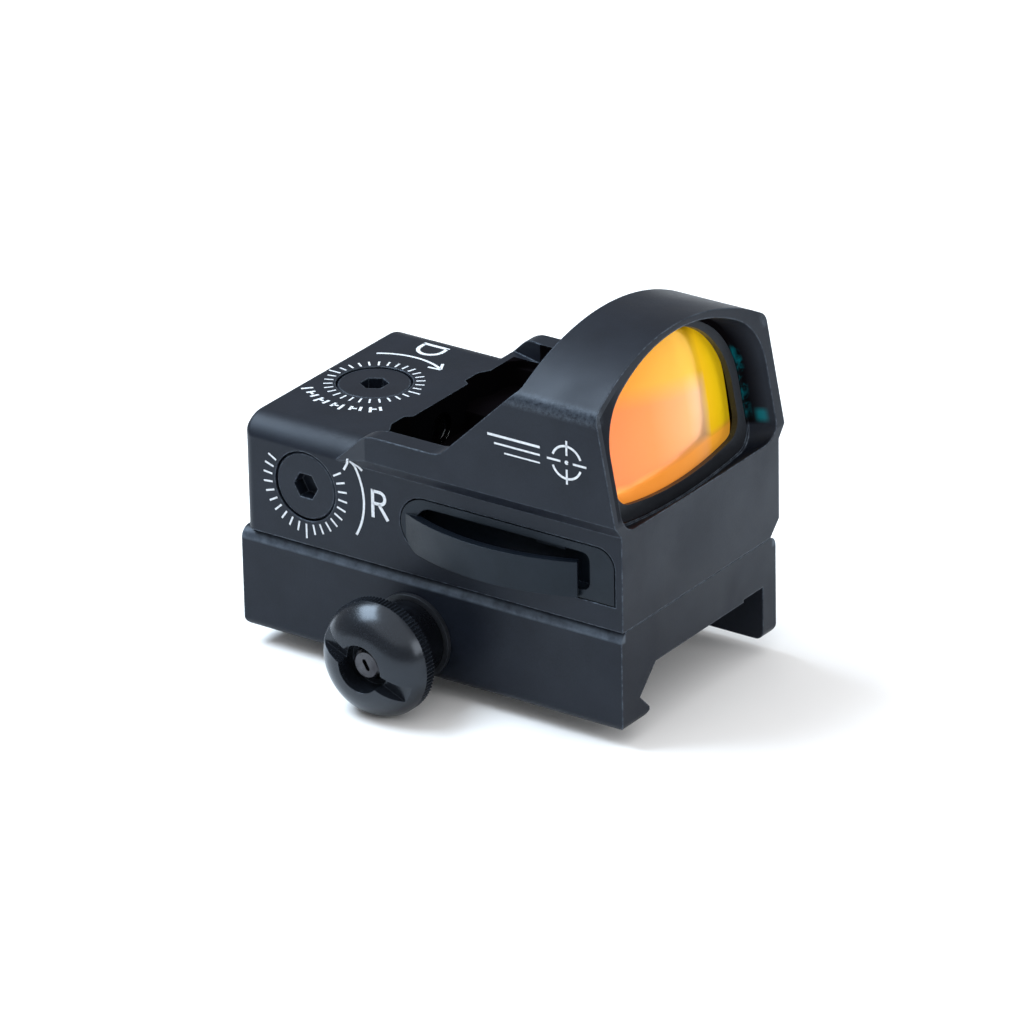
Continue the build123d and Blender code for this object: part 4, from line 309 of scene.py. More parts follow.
def anodised(name, dark, light, rough=(0.38, 0.5), edge_radius=0.24, wear=1.1, grain=1.0,
             metallic=0.14, edge_colour=(0.10, 0.125, 0.16), gloss=GLOSS, inside=False,
             seam=False, neck=False):
    """Bead-blasted anodised aluminium: fine grain, cloudy tone, edges lighter with wear.

    inside adds the near-black space behind the lens, which is painted shade for that recess and
    also a matt black coat, painted shade that grows into the hood's mouth with painted teal
    reflections there, and a painted highlight with rubbed wear along the crease under the arch;
    seam adds a painted highlight on the mount's upper edge; neck adds painted shade on the knob's
    neck."""
    material, tree, shader, _ = start_material(name)
    coords = object_coords(tree)
    cloud = noise(tree, coords, 220, 4.0, 0.6)
    speckle = noise(tree, coords, 5200, 2.0, 0.6)
    fine = noise(tree, coords, 14000, 1.0, 0.5)
    tone = ramp(tree, cloud, [(0.30, dark), (0.70, light)])
    spots = remap(tree, speckle, 0.35, 0.75, 0.0, 0.35)
    tone = mix_colour(tree, spots, tone, tuple(1.6 * c for c in light))
    normal, edge = rounded_edges(tree, edge_radius * MM)
    patches = remap(tree, noise(tree, coords, 1500, 4.0, 0.7), 0.42, 0.62, 0.25, 1.0)
    wear_and_highlight = math_node(tree, "MULTIPLY", product(tree, edge, patches), wear, clamp=True)
    smudge = noise(tree, coords, 130, 3.0, 0.5, 0.6)
    roughness = remap(tree, smudge, 0.3, 0.7, rough[0], rough[1])
    roughness = math_node(tree, "ADD", roughness, remap(tree, speckle, 0.3, 0.7, -0.03, 0.03))
    if seam:
        # painted highlight on the mount's upper edge
        wear_and_highlight = math_node(tree, "MAXIMUM", wear_and_highlight, seam_highlight(tree, coords))
    if inside:
        # painted highlight with rubbed wear along the crease under the arch
        wear_and_highlight = math_node(tree, "MAXIMUM", wear_and_highlight, crease_highlight_and_wear(tree, coords))
        # painted shade behind the lens and in the hood's mouth, and painted teal reflections
        mouth, teal = mouth_mask(tree, coords)
        shade_and_matt = math_node(tree, "MAXIMUM", inside_mask(tree, coords), mouth)
        tone = mix_colour(tree, wear_and_highlight, tone, edge_colour)
        tone = mix_colour(tree, shade_and_matt, tone, MATT_AND_SHADE_BLACK)
        tone = mix_colour(tree, teal, tone, TEAL_GLINT)
        duller = product(tree, shade_and_matt, INSIDE_DULLER)
        roughness = math_node(tree, "ADD", roughness, duller, clamp=True)
        level = product(tree, math_node(tree, "SUBTRACT", 1.0, shade_and_matt), gloss)
        tree.links.new(level, shader.inputs["Specular IOR Level"])
    else:
        tone = mix_colour(tree, wear_and_highlight, tone, edge_colour)
        if neck:
            # painted shade on the knob's neck
            tone = mix_colour(tree, neck_shade_mask(tree, coords), tone, NECK_SHADE_BLACK)
        shader.inputs["Specular IOR Level"].default_value = gloss
    tree.links.new(tone, shader.inputs["Base Color"])
    tree.links.new(roughness, shader.inputs["Roughness"])
    shader.inputs["Metallic"].default_value = metallic
    shader.inputs["Specular Tint"].default_value = (*METAL_SHEEN, 1.0)
    relief = math_node(tree, "ADD", speckle, product(tree, fine, 0.5))
    out = bump(tree, relief, 0.35 * grain, 0.02 * MM, normal)
    tree.links.new(out, shader.inputs["Normal"])
    return material


def steel(name, dark, light, rough=(0.22, 0.38), axis="X"):
    """Turned or ground metal with fine lines round or along it."""
    material, tree, shader, _ = start_material(name)
    coords = object_coords(tree)
    stretch = tree.nodes.new("ShaderNodeMapping")
    scales = {"X": (1.0, 0.04, 0.04), "Z": (0.04, 0.04, 1.0)}
    stretch.inputs["Scale"].default_value = scales[axis]
    tree.links.new(coords, stretch.inputs["Vector"])
    grooves = noise(tree, stretch.outputs["Vector"], 9000, 2.0, 0.6)
    cloud = noise(tree, coords, 500, 4.0, 0.6)
    stain = remap(tree, cloud, 0.35, 0.7, 0.0, 1.0)
    tree.links.new(mix_colour(tree, stain, light, dark), shader.inputs["Base Color"])
    base = remap(tree, cloud, 0.3, 0.7, rough[0], rough[1])
    groove_rough = remap(tree, grooves, 0.3, 0.7, -0.04, 0.05)
    tree.links.new(math_node(tree, "ADD", base, groove_rough), shader.inputs["Roughness"])
    shader.inputs["Metallic"].default_value = 1.0
    normal, _ = rounded_edges(tree, STEEL_EDGE)
    out = bump(tree, grooves, 0.25, 0.01 * MM, normal)
    tree.links.new(out, shader.inputs["Normal"])
    return material


def moulded(name, dark, light, rough=(0.45, 0.6), texture=3000, specular=0.45):
    """Moulded plastic or rubber with a fine spark texture and faint flow marks."""
    material, tree, shader, _ = start_material(name)
    coords = object_coords(tree)
    cloud = noise(tree, coords, 300, 4.0, 0.6)
    flow = noise(tree, coords, 90, 2.0, 0.5, 2.0)
    sparks = noise(tree, coords, texture, 3.0, 0.6)
    tone = ramp(tree, cloud, [(0.28, dark), (0.72, light)])
    tree.links.new(tone, shader.inputs["Base Color"])
    roughness = remap(tree, flow, 0.3, 0.7, rough[0], rough[1])
    roughness = math_node(tree, "ADD", roughness, remap(tree, sparks, 0.3, 0.7, -0.04, 0.04))
    tree.links.new(roughness, shader.inputs["Roughness"])
    shader.inputs["Specular IOR Level"].default_value = specular
    shader.inputs["Specular Tint"].default_value = (*PLASTIC_SHEEN, 1.0)
    normal, _ = rounded_edges(tree, PLASTIC_EDGE)
    out = bump(tree, sparks, 0.3, 0.015 * MM, normal)
    tree.links.new(out, shader.inputs["Normal"])
    return material


def printed(name):
    """White screen print: slightly uneven ink over the dark coating."""
    material, tree, shader, _ = start_material(name)
    coords = object_coords(tree)
    patchy = noise(tree, coords, 3500, 3.0, 0.6)
    tone = ramp(tree, patchy, [(0.25, (0.42, 0.45, 0.49)), (0.6, (0.62, 0.65, 0.69))])
    tree.links.new(tone, shader.inputs["Base Color"])
    tree.links.new(remap(tree, patchy, 0.3, 0.7, 0.42, 0.62), shader.inputs["Roughness"])
    tree.links.new(bump(tree, patchy, 0.2, 0.01 * MM), shader.inputs["Normal"])
    return material


def coated_lens(name):
    """Dichroic coating: orange and amber reflections painted on the front face by position,
    brightened by emission, and a cool tint let through.
    """
    material, tree, shader, output = start_material(name)
    texture = tree.nodes.new("ShaderNodeTexCoord")
    side, _, above = split(tree, texture.outputs["Object"])
    _, facing, _ = split(tree, texture.outputs["Normal"])
    wobble = noise(tree, texture.outputs["Object"], 110, 2.0, 0.5)
    wobble = remap(tree, wobble, 0.3, 0.7, -0.4 * MM, 0.4 * MM)
    across = math_node(tree, "ADD", side, wobble)
    height = math_node(tree, "ADD", above, wobble)
    span = remap(tree, across, LENS_LOW.x, LENS_HIGH.x, 0.0, 1.0)
    # the painted inner reflection: deeper orange at +X, pale peach towards -X
    inner = ramp(tree, span, [
        (0.18, (1.00, 0.60, 0.34)),
        (0.34, (1.00, 0.38, 0.11)),
        (0.60, (1.00, 0.25, 0.04)),
        (1.00, (1.00, 0.20, 0.045)),
    ])
    # the painted outer reflection: yellow at -X, amber over the top
    outer = ramp(tree, span, [
        (0.05, (1.00, 0.66, 0.01)),
        (0.35, (1.00, 0.46, 0.01)),
        (0.75, (1.00, 0.32, 0.01)),
    ])
    slope = math_node(tree, "SUBTRACT", height, product(tree, across, LENS_TILT))
    over = remap(tree, slope, LENS_OVER_START, LENS_OVER_FULL, 0.0, 1.0)
    beside = remap(tree, across, LENS_BESIDE_START, LENS_BESIDE_FULL, 0.0, 1.0)
    tone = mix_colour(tree, math_node(tree, "MAXIMUM", over, beside), inner, outer)
    # painted reflection along the lens's lower rim, brightened by emission
    rim = remap(tree, height, LENS_RIM_START, LENS_RIM_FULL, 0.0, 0.75)
    tone = mix_colour(tree, rim, tone, LENS_RIM_TONE)
    tree.links.new(tone, shader.inputs["Base Color"])
    # painted light: the tone is also emitted, towards -X and along the lower rim
    tree.links.new(tone, shader.inputs["Emission Color"])
    glow = math_node(tree, "MAXIMUM", product(tree, beside, LENS_SIDE_GLOW),
                     product(tree, rim, LENS_RIM_GLOW))
    tree.links.new(glow, shader.inputs["Emission Strength"])
    shader.inputs["Metallic"].default_value = 0.5
    smear = noise(tree, texture.outputs["Object"], 260, 3.0, 0.6, 0.8)
    tree.links.new(remap(tree, smear, 0.35, 0.75, 0.14, 0.24), shader.inputs["Roughness"])
    shader.inputs["Coat Weight"].default_value = 0.3
    shader.inputs["Coat Roughness"].default_value = 0.03
    clear = tree.nodes.new("ShaderNodeBsdfTransparent")
    clear.inputs["Color"].default_value = (0.45, 0.80, 0.86, 1.0)
    front = remap(tree, facing, 0.2, 0.6, LENS_BACK_MIRROR, LENS_MIRROR)
    blend_shader = tree.nodes.new("ShaderNodeMixShader")
    tree.links.new(front, blend_shader.inputs["Fac"])
    tree.links.new(clear.outputs["BSDF"], blend_shader.inputs[1])
    tree.links.new(shader.outputs["BSDF"], blend_shader.inputs[2])
    tree.links.new(blend_shader.outputs["Shader"], output.inputs["Surface"])
    return material


def clear_window(name):
    """Small clear window with faint dust."""
    material, tree, shader, _ = start_material(name)
    coords = object_coords(tree)
    dust = noise(tree, coords, 2600, 4.0, 0.7)
    shader.inputs["Transmission Weight"].default_value = 1.0
    shader.inputs["IOR"].default_value = 1.5
    tree.links.new(ramp(tree, dust, [(0.5, (0.9, 0.95, 0.96)), (0.8, (0.7, 0.74, 0.75))]),
                   shader.inputs["Base Color"])
    tree.links.new(remap(tree, dust, 0.4, 0.8, 0.03, 0.25), shader.inputs["Roughness"])
    return material


def board(name):
    """Circuit board: a green mask with lighter lines where the tracks run."""
    material, tree, shader, _ = start_material(name)
    coords = object_coords(tree)
    tracks = tree.nodes.new("ShaderNodeTexBrick")
    tracks.inputs["Scale"].default_value = 900
    tracks.inputs["Mortar Size"].default_value = 0.08
    tracks.inputs["Color1"].default_value = (0.02, 0.13, 0.05, 1.0)
    tracks.inputs["Color2"].default_value = (0.03, 0.18, 0.07, 1.0)
    tracks.inputs["Mortar"].default_value = (0.10, 0.30, 0.12, 1.0)
    turn = tree.nodes.new("ShaderNodeMapping")
    turn.inputs["Rotation"].default_value = (math.pi / 2, 0, math.pi / 2)
    tree.links.new(coords, turn.inputs["Vector"])
    tree.links.new(turn.outputs["Vector"], tracks.inputs["Vector"])
    grain = noise(tree, coords, 2500, 3.0, 0.6)
    shade = remap(tree, grain, 0.3, 0.7, 0.0, 0.25)
    tree.links.new(mix_colour(tree, shade, tracks.outputs["Color"], (0.01, 0.06, 0.02)),
                   shader.inputs["Base Color"])
    tree.links.new(remap(tree, grain, 0.3, 0.7, 0.25, 0.45), shader.inputs["Roughness"])
    tree.links.new(bump(tree, tracks.outputs["Fac"], 0.3, 0.02 * MM), shader.inputs["Normal"])
    return material


# ---------------------------------------------------------------- materials of the CAD nodes
LENS_LOW, LENS_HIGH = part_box("objective_lens")
LENS_MIRROR = 0.93
LENS_BACK_MIRROR = 0.12
LENS_TILT = 0.19               # the edge of the upper reflection rises towards +X
LENS_OVER_START = 24.2 * MM
LENS_OVER_FULL = 26.4 * MM
LENS_BESIDE_START = -6.7 * MM
LENS_BESIDE_FULL = -8.0 * MM
LENS_RIM_START = 18.4 * MM
LENS_RIM_FULL = 17.6 * MM
LENS_RIM_TONE = (1.0, 0.36, 0.05)
LENS_SIDE_GLOW = 0.42          # painted light: emission where the dark hood round the lens would shade it
# painted light: emission along the lens's lower rim
LENS_RIM_GLOW = 0.7
STEEL_EDGE = 0.08 * MM
PLASTIC_EDGE = 0.12 * MM

# the open space behind the lens, painted near-black: painted shade for the recess, and also its
# matt black coat
INSIDE_HALF_WIDTH = 13.03 * MM
INSIDE_REAR = -8.83 * MM
INSIDE_FRONT = 19.5 * MM
INSIDE_FLOOR = 13.1 * MM
INSIDE_SOFT = 0.02 * MM
DECK_EDGE = -8.03 * MM
DECK_TOP = 18.0 * MM
ARCH_CENTRE_Z = 3.56 * MM
ARCH_INNER_R = 28.0 * MM

# the crease under the hood's arch: a painted highlight where its rounding would catch the light,
# with rubbed wear
CREASE_INNER = 13.9 * MM
CREASE_OUTER = 14.6 * MM
CREASE_LOW = 28.0 * MM
CREASE_HIGH = 28.9 * MM
CREASE_SOFT = 0.5 * MM
CREASE_STRENGTH = 0.42

# the rounded upper edge of the mount: a painted highlight for the light it would catch under the
# body
SEAM_INNER = 13.2 * MM
SEAM_FULL = 13.5 * MM
SEAM_LOW = 4.3 * MM
SEAM_HIGH = 4.95 * MM
SEAM_SOFT = 0.25 * MM
SEAM_STRENGTH = (0.25, 0.62)

# painted shade on the knob's neck, up to where its knurled ring starts
NECK_END = 19.15 * MM
NECK_SOFT = 0.1 * MM
NECK_STRENGTH = 0.9

# painted shade in the hood's mouth in front of the lens, whose front face leans back
FRONT_Y = 23.8 * MM
LEAN_FROM = 17.26 * MM
LEAN = math.radians(10.8)
MOUTH_HALF_WIDTH = 14.6 * MM
MOUTH_ARCH_R = 28.85 * MM
MOUTH_REAR = 12.2 * MM
MOUTH_SILL = 17.5 * MM
MOUTH_SILL_SOFT = 0.4 * MM
MOUTH_SOFT = 0.05 * MM
MOUTH_DARK_START = 0.5 * MM
MOUTH_DARK_FULL = 2.2 * MM
MOUTH_DARKEST = 0.96
MOUTH_NEAR_SIDE = 0.8          # the +X half of the mouth gets less painted shade
SHADED_RIM_START = 9.0 * MM
SHADED_RIM_END = 12.5 * MM
SHADED_RIM_DEPTH = 1.5 * MM
# painted teal reflections on the mouth's -X wall
GLINT_START = -10.0 * MM
GLINT_FULL = -11.0 * MM
STREAK_STRENGTH = 0.55
CORNER_STRENGTH = 0.7

BODY_DARK, BODY_LIGHT = (0.0036, 0.0048, 0.0086), (0.0064, 0.0084, 0.0140)
materials = {
    "mount_anodised": anodised("mount_anodised", BODY_DARK, BODY_LIGHT, seam=True),
    "body_anodised": anodised("body_anodised", BODY_DARK, BODY_LIGHT, inside=True),
    "plate_anodised": anodised("plate_anodised", (0.010, 0.012, 0.016), (0.017, 0.020, 0.026)),
    "dial_anodised": anodised("dial_anodised", BODY_DARK, BODY_LIGHT, (0.34, 0.46)),
    "knob_anodised": anodised(
        "knob_anodised", (0.005, 0.006, 0.009), (0.009, 0.011, 0.015), (0.19, 0.27),
        edge_radius=0.1, wear=0.45, grain=0.25, metallic=0.3, gloss=0.55, neck=True,
    ),
    "bolt_steel": steel("bolt_steel", (0.035, 0.035, 0.04), (0.07, 0.072, 0.08), axis="X"),
    "screw_steel": steel("screw_steel", (0.028, 0.028, 0.032), (0.055, 0.055, 0.06), (0.3, 0.45)),
    "pin_steel": steel("pin_steel", (0.38, 0.39, 0.41), (0.56, 0.57, 0.59), (0.15, 0.28)),
    "spring_steel": steel("spring_steel", (0.30, 0.30, 0.31), (0.46, 0.47, 0.48), (0.2, 0.35)),
    "washer_plastic": moulded("washer_plastic", (0.006, 0.006, 0.008), (0.011, 0.011, 0.013)),
    "seal_rubber": moulded("seal_rubber", (0.012, 0.012, 0.012), (0.022, 0.022, 0.022),
                           (0.7, 0.85), specular=0.25),
    "coated_glass": coated_lens("coated_glass"),
    "clear_glass": clear_window("clear_glass"),
    "bezel_black": anodised(
        "bezel_black", (0.009, 0.010, 0.013), (0.016, 0.018, 0.022), (0.36, 0.5),
        edge_radius=0.08, wear=0.2,
    ),
    "brass_inner": steel("brass_inner", (0.38, 0.25, 0.08), (0.60, 0.44, 0.17), (0.22, 0.36)),
    "carriage_plastic": moulded("carriage_plastic", (0.02, 0.02, 0.022), (0.035, 0.035, 0.04)),
    "emitter_red": moulded("emitter_red", (0.25, 0.01, 0.01), (0.45, 0.03, 0.02), (0.1, 0.2)),
    "board_green": board("board_green"),
    "chip_black": moulded("chip_black", (0.015, 0.015, 0.016), (0.03, 0.03, 0.032), (0.4, 0.6)),
    "button_rubber": moulded("button_rubber", (0.014, 0.015, 0.017), (0.024, 0.025, 0.028),
                             (0.55, 0.7), specular=0.35),
    "drawer_black": moulded("drawer_black", (0.0020, 0.0034, 0.0062), (0.0040, 0.0062, 0.0105),
                            (0.36, 0.48), texture=4200, specular=0.24),
    "cell_steel": steel("cell_steel", (0.54, 0.55, 0.56), (0.62, 0.63, 0.64), (0.18, 0.28), "Z"),
    "contact_brass": steel("contact_brass", (0.45, 0.32, 0.12), (0.66, 0.5, 0.24), (0.2, 0.34)),
}
for row in frame["record"]["subparts"]:
    node = frame["nodes"][row["node"]]
    for place in node.material_slots:
        place.material = materials[row["material_slot"]]

print_white = printed("print_white")

# ---------------------------------------------------------------- printed marks
body_mesh = frame["nodes"]["sight_body"]
skin = BVHTree.FromPolygons(
    [v.co.copy() for v in body_mesh.data.vertices],
    [tuple(p.vertices) for p in body_mesh.data.polygons],
)
INK_LOW = 0.004 * MM
INK_HIGH = 0.022 * MM
FINE = 0.35 * MM               # longest step of an outline, so that ink follows a curved surface


class Side:
    """A drawing plane: u runs along +Y and v along +Z, seen from +X."""
    origin = Vector((30 * MM, 0, 0))
    u = Vector((0, 1, 0))
    v = Vector((0, 0, 1))
    down = Vector((-1, 0, 0))


class Deck:
    """A drawing plane: u runs along +X and v along +Y, seen from above."""
    origin = Vector((0, 0, 40 * MM))
    u = Vector((1, 0, 0))
    v = Vector((0, 1, 0))
    down = Vector((0, 0, -1))


def strip(points, width):
    """The two sides of a stroke of even width along points (u, v) in mm, as pairs of points."""
    dense = [Vector(points[0])]
    for a, b in zip(points, points[1:]):
        a, b = Vector(a), Vector(b)
        steps = max(1, math.ceil((b - a).length * MM / FINE))
        dense += [a.lerp(b, i / steps) for i in range(1, steps + 1)]
    lines = []
    for i, p in enumerate(dense):
        before, after = dense[max(i - 1, 0)], dense[min(i + 1, len(dense) - 1)]
        along = (after - before).normalized()
        across = Vector((-along.y, along.x)) * width / 2
        lines.append((p + across, p - across))
    return lines


def towards(angle):
    """The unit direction of an angle in degrees."""
    return Vector((math.cos(math.radians(angle)), math.sin(math.radians(angle))))


def arc_points(centre, radius, start, end, count=28):
    """Points of an arc in mm, angles in degrees."""
    angles = [math.radians(start + (end - start) * i / count) for i in range(count + 1)]
    return [(centre[0] + radius * math.cos(a), centre[1] + radius * math.sin(a)) for a in angles]


def ink(name, plane, strokes):
    """One piece of thin printed ink that lies on the sight body's own surface."""
    mesh = bpy.data.meshes.new(name)
    shape = bmesh.new()
    for points, width in strokes:
        tops, bottoms = [], []
        for pair in strip(points, width):
            for spot in pair:
                start = plane.origin + plane.u * spot.x * MM + plane.v * spot.y * MM
                hit, normal, _, _ = skin.ray_cast(start, plane.down)
                tops.append(shape.verts.new(hit + normal * INK_HIGH))
                bottoms.append(shape.verts.new(hit + normal * INK_LOW))
        count = len(tops)
        for i in range(0, count - 2, 2):
            shape.faces.new((tops[i], tops[i + 1], tops[i + 3], tops[i + 2]))
            shape.faces.new((bottoms[i], bottoms[i + 2], bottoms[i + 3], bottoms[i + 1]))
            shape.faces.new((tops[i], tops[i + 2], bottoms[i + 2], bottoms[i]))
            shape.faces.new((tops[i + 1], bottoms[i + 1], bottoms[i + 3], tops[i + 3]))
        shape.faces.new((tops[0], bottoms[0], bottoms[1], tops[1]))
        shape.faces.new((tops[-2], tops[-1], bottoms[-1], bottoms[-2]))
    bmesh.ops.recalc_face_normals(shape, faces=shape.faces)
    shape.to_mesh(mesh)
    shape.free()
    mesh.materials.append(print_white)
    piece = bpy.data.objects.new(name, mesh)
    bpy.context.scene.collection.objects.link(piece)
    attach(piece, "body")


def ring_of_ticks(centre, angles, start, length, long_angles):
    """Radial ticks round a dial; those at the long angles reach further out."""
    strokes = []
    for angle in angles:
        outer = LONG_TICK_END if angle in long_angles else start + length
        base, direction = Vector(centre), towards(angle)
        line = [tuple(base + direction * start), tuple(base + direction * outer)]
        strokes.append((line, TICK_WIDTH))
    return strokes


def box_middle(name):
    """The middle of a node's box, in mm."""
    low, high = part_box(name)
    return (low + high) / 2 / MM


def curved_arrow(centre, radius, start, end, width, point, barbs):
    """An arc with two barbs at its end; point and barbs are offsets in mm from just past it."""
    past = 1 if end > start else -1
    tip = arc_points(centre, radius, end, end + past)[-1]
    head = (tip[0] + point[0], tip[1] + point[1])
    strokes = [(arc_points(centre, radius, start, end), width)]
    for barb in barbs:
        strokes.append(([(tip[0] + barb[0], tip[1] + barb[1]), head], width))
    return strokes


wind = box_middle("windage_dial")
elev = box_middle("elevation_dial")
WIND = (wind.y, wind.z)
ELEV = (elev.x, elev.y)
TICK_STEP = 12
TICK_WIDTH = 0.2
LONG_TICK_END = 5.75
SIDE_TICK_START = 4.15
SIDE_TICK_LENGTH = 1.1
DECK_TICK_START = 4.3
DECK_TICK_LENGTH = 0.95

side_ticks = ring_of_ticks(
    WIND, [-90 + TICK_STEP * k for k in range(-10, 11)], SIDE_TICK_START, SIDE_TICK_LENGTH, [-90]
)
ink("print_windage_ticks", Side, side_ticks)

deck_ticks = ring_of_ticks(
    ELEV, [90 + TICK_STEP * k for k in range(30)], DECK_TICK_START, DECK_TICK_LENGTH, [90, 270]
)
ink("print_elevation_ticks", Deck, deck_ticks)

# arrows that show which way to turn
SIDE_ARROW_R = 7.35
SIDE_ARROW_FROM, SIDE_ARROW_TO = -31, 36
SIDE_ARROW_WIDTH = 0.26
DECK_ARROW_R = 7.4
DECK_ARROW_FROM, DECK_ARROW_TO = 214, 150
DECK_ARROW_WIDTH = 0.3
side_arrow = curved_arrow(
    WIND, SIDE_ARROW_R, SIDE_ARROW_FROM, SIDE_ARROW_TO, SIDE_ARROW_WIDTH,
    point=(-0.08, 0.2), barbs=[(-0.95, -1.35), (1.35, -0.9)],
)
ink("print_windage_arrow", Side, side_arrow)

deck_arrow = curved_arrow(
    ELEV, DECK_ARROW_R, DECK_ARROW_FROM, DECK_ARROW_TO, DECK_ARROW_WIDTH,
    point=(0.1, 0.1), barbs=[(-1.2, -0.55), (0.25, -1.4)],
)
ink("print_elevation_arrow", Deck, deck_arrow)

# direction letters beside the arrows
R_LEFT, R_BASE, R_TOP = -6.55, 10.75, 13.85
R_BOWL = (R_TOP - R_BASE) * 0.27
R_BOWL_START = 0.85            # the bowl begins this far from the letter's left side
R_LEG_TOP = 0.75
R_LEG_FOOT = 1.85
R_INSET = 0.17                 # half a stroke
R_HEAVY, R_LIGHT, R_ROUND = 0.38, 0.34, 0.36
bowl_centre = (R_LEFT + R_BOWL_START, R_TOP - R_BOWL)
r_upper = R_TOP - R_INSET
r_middle = R_TOP - 2 * R_BOWL + R_INSET
letter_r = [
    ([(R_LEFT, R_BASE), (R_LEFT, R_TOP)], R_HEAVY),
    ([(R_LEFT, r_upper), (bowl_centre[0], r_upper)], R_LIGHT),
    (arc_points(bowl_centre, R_BOWL - R_INSET, 90, -90, 16), R_ROUND),
    ([(R_LEFT, r_middle), (bowl_centre[0], r_middle)], R_LIGHT),
    ([(R_LEFT + R_LEG_TOP, r_middle), (R_LEFT + R_LEG_FOOT, R_BASE)], R_HEAVY),
]
ink("print_letter_right", Side, letter_r)

D_STEM, D_LOW, D_HIGH = -10.9, -17.9, -14.7
D_BOWL_START = 0.9
D_INSET = 0.2
D_HEAVY, D_LIGHT = 0.42, 0.4
d_bowl_centre = (D_STEM + D_BOWL_START, (D_LOW + D_HIGH) / 2)
d_bowl_r = (D_HIGH - D_LOW) / 2 - D_INSET
letter_d = [
    ([(D_STEM, D_LOW), (D_STEM, D_HIGH)], D_HEAVY),
    ([(D_STEM, D_LOW + D_INSET), (D_STEM + D_BOWL_START, D_LOW + D_INSET)], D_LIGHT),
    ([(D_STEM, D_HIGH - D_INSET), (D_STEM + D_BOWL_START, D_HIGH - D_INSET)], D_LIGHT),
    (arc_points(d_bowl_centre, d_bowl_r, -90, 90, 18), D_HEAVY),
]
ink("print_letter_down", Deck, letter_d)

# a row of short strokes beside the deck's dial, where a click value is usually printed
LEGEND_R = 6.35
LEGEND_BAR_R = 6.85
LEGEND_START = -45
LEGEND_STEP = 8.6
LEGEND_COUNT = 11
LEGEND_SHORT, LEGEND_LONG = 0.95, 1.25
LEGEND_WIDTH = 0.3
LEGEND_BAR_WIDTH = 0.26
LEGEND_BAR_SPAN = 5.5          # degrees
legend = []
for i in range(LEGEND_COUNT):
    angle = LEGEND_START + LEGEND_STEP * i
    reach = LEGEND_SHORT if i % 3 else LEGEND_LONG
    inner = arc_points(ELEV, LEGEND_R, angle, angle + 1)[0]
    outer = arc_points(ELEV, LEGEND_R + reach, angle, angle + 1)[0]
    legend.append(([inner, outer], LEGEND_WIDTH))
    if i % 2:
        bar = arc_points(ELEV, LEGEND_BAR_R, angle, angle + LEGEND_BAR_SPAN, 4)
        legend.append((bar, LEGEND_BAR_WIDTH))
ink("print_click_legend", Deck, legend)

# generic mark on the hood: a ring reticle with three bars beside it
MARK = (18.1, 23.2)
MARK_RING_R = 1.75
MARK_RING_WIDTH = 0.24
MARK_HAIR_START, MARK_HAIR_END = 0.75, 2.35
MARK_HAIR_WIDTH = 0.22
MARK_DOT_R = 0.13
MARK_DOT_WIDTH = 0.2
BAR_TOP = 24.1
BAR_STEP = 0.85
BAR_END = 14.9
BARS = [(8.6, 0.26), (9.4, 0.2), (10.6, 0.16)]   # start and width
mark = []
for start in (20, 200):
    mark.append((arc_points(MARK, MARK_RING_R, start, start + 140, 20), MARK_RING_WIDTH))
for angle in (0, 90, 180, 270):
    base, direction = Vector(MARK), towards(angle)
    hair = [tuple(base + direction * MARK_HAIR_START), tuple(base + direction * MARK_HAIR_END)]
    mark.append((hair, MARK_HAIR_WIDTH))
mark.append((arc_points(MARK, MARK_DOT_R, 0, 330, 12), MARK_DOT_WIDTH))
for row, (start, width) in enumerate(BARS):
    height = BAR_TOP - BAR_STEP * row
    mark.append(([(start, height), (BAR_END, height)], width))
ink("print_reticle_mark", Side, mark)

# ---------------------------------------------------------------- floor, light and camera
FLOOR_Z = CAD_LOW.z - 0.02 * MM
FLOOR_REACH = 3.0
WORLD_STRENGTH = 0.38
SUN_ENERGY = 2.05
SUN_ANGLE = math.radians(100)
SUN_TILT = (math.radians(-12), math.radians(8), 0)
KEY_POWER = 4.6
FRONT_POWER = 1.0

floor_mesh = bpy.data.meshes.new("floor")
floor_mesh.from_pydata(
    [(-FLOOR_REACH, -FLOOR_REACH, FLOOR_Z), (FLOOR_REACH, -FLOOR_REACH, FLOOR_Z),
     (FLOOR_REACH, FLOOR_REACH, FLOOR_Z), (-FLOOR_REACH, FLOOR_REACH, FLOOR_Z)],
    [], [(0, 1, 2, 3)],
)
floor = bpy.data.objects.new("floor", floor_mesh)
bpy.context.scene.collection.objects.link(floor)
material, tree, shader, _ = start_material("floor_pale")
paper = noise(tree, object_coords(tree), 40, 3.0, 0.5)
pale = ramp(tree, paper, [(0.3, (0.86, 0.86, 0.865)), (0.7, (0.89, 0.89, 0.89))])
tree.links.new(pale, shader.inputs["Base Color"])
shader.inputs["Roughness"].default_value = 0.9
floor_mesh.materials.append(material)

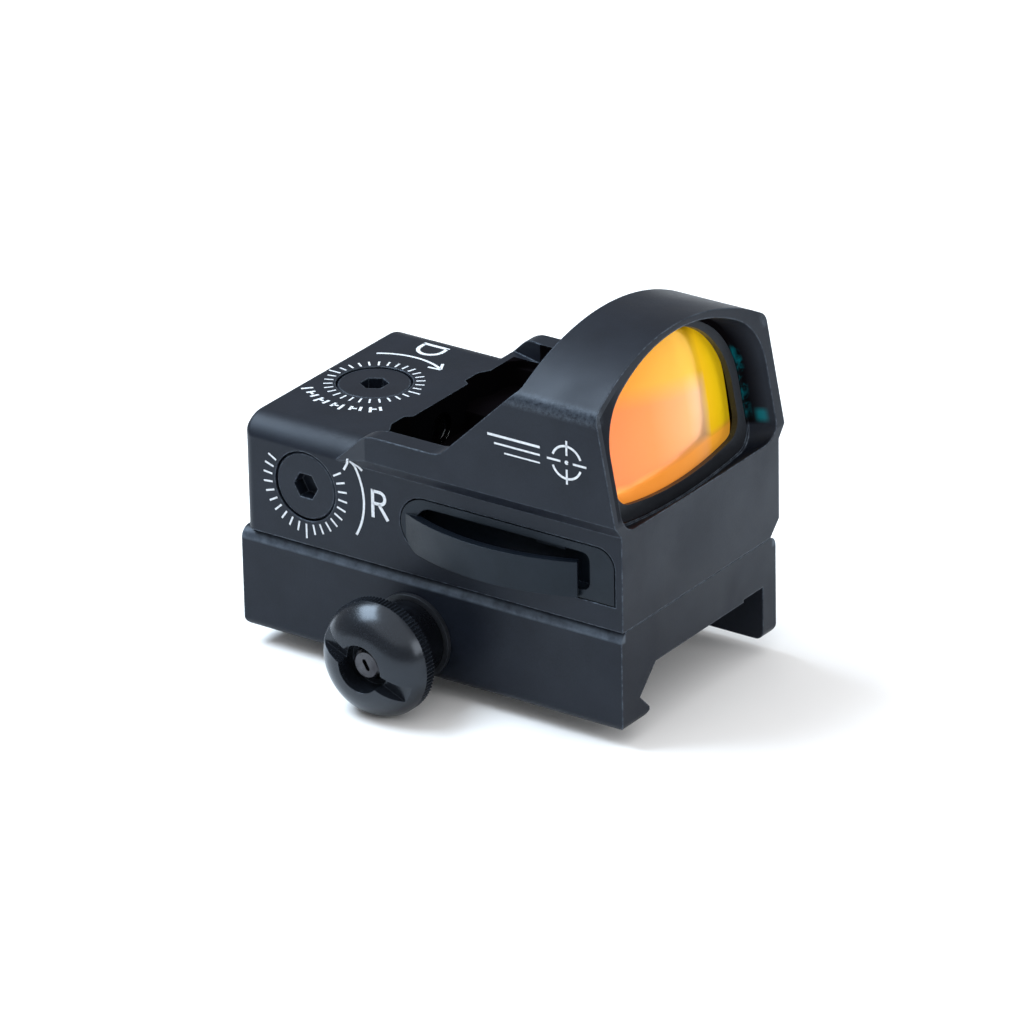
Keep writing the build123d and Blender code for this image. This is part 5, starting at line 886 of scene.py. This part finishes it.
scene = bpy.context.scene
world = bpy.data.worlds.new("studio")
world.use_nodes = True
background = world.node_tree.nodes["Background"]
background.inputs["Color"].default_value = (0.97, 0.985, 1.0, 1.0)
background.inputs["Strength"].default_value = WORLD_STRENGTH
scene.world = world
scene.view_settings.view_transform = "Standard"

AIM = Vector((0, 0, 10 * MM))


def area(name, place, size, power, colour=(1.0, 1.0, 1.0)):
    """A soft rectangular light at place, in metres, that faces the sight."""
    data = bpy.data.lights.new(name, "AREA")
    data.shape = "RECTANGLE"
    data.size, data.size_y = size
    data.energy = power
    data.color = colour
    lamp = bpy.data.objects.new(name, data)
    lamp.location = place
    lamp.rotation_mode = "QUATERNION"
    lamp.rotation_quaternion = (AIM - Vector(place)).to_track_quat("-Z", "Y")
    scene.collection.objects.link(lamp)


area("key_over", (0.09, -0.29, 0.46), (0.42, 0.26), KEY_POWER, (0.76, 0.89, 1.0))
area("front_soft", (-0.05, 0.55, 0.20), (0.3, 0.2), FRONT_POWER)

# broad overhead light that keeps the floor pale all round
sky = bpy.data.lights.new("overhead", "SUN")
sky.energy = SUN_ENERGY
sky.angle = SUN_ANGLE
sky_lamp = bpy.data.objects.new("overhead", sky)
sky_lamp.rotation_euler = SUN_TILT
scene.collection.objects.link(sky_lamp)

camera_data = bpy.data.cameras.new("camera")
camera = bpy.data.objects.new("camera", camera_data)
scene.collection.objects.link(camera)
scene.camera = camera
TARGET = Vector((4.147, 3.5, 9.897)) * MM
BACK = Vector((0.7414, 0.5247, 0.4186)).normalized()
RIGHT = Vector((-0.5708, 0.8210, -0.0181))
RIGHT = (RIGHT - BACK * RIGHT.dot(BACK)).normalized()
UP = BACK.cross(RIGHT)
DISTANCE = 773.206 * MM
FOCAL_LENGTH = 268.53
SENSOR_WIDTH = 36.0
camera.matrix_world = Matrix.Translation(TARGET + BACK * DISTANCE) @ Matrix(
    (RIGHT, UP, BACK)
).transposed().to_4x4()
camera_data.sensor_width = SENSOR_WIDTH
camera_data.lens = FOCAL_LENGTH
camera_data.clip_start = 0.01
camera_data.clip_end = 20.0
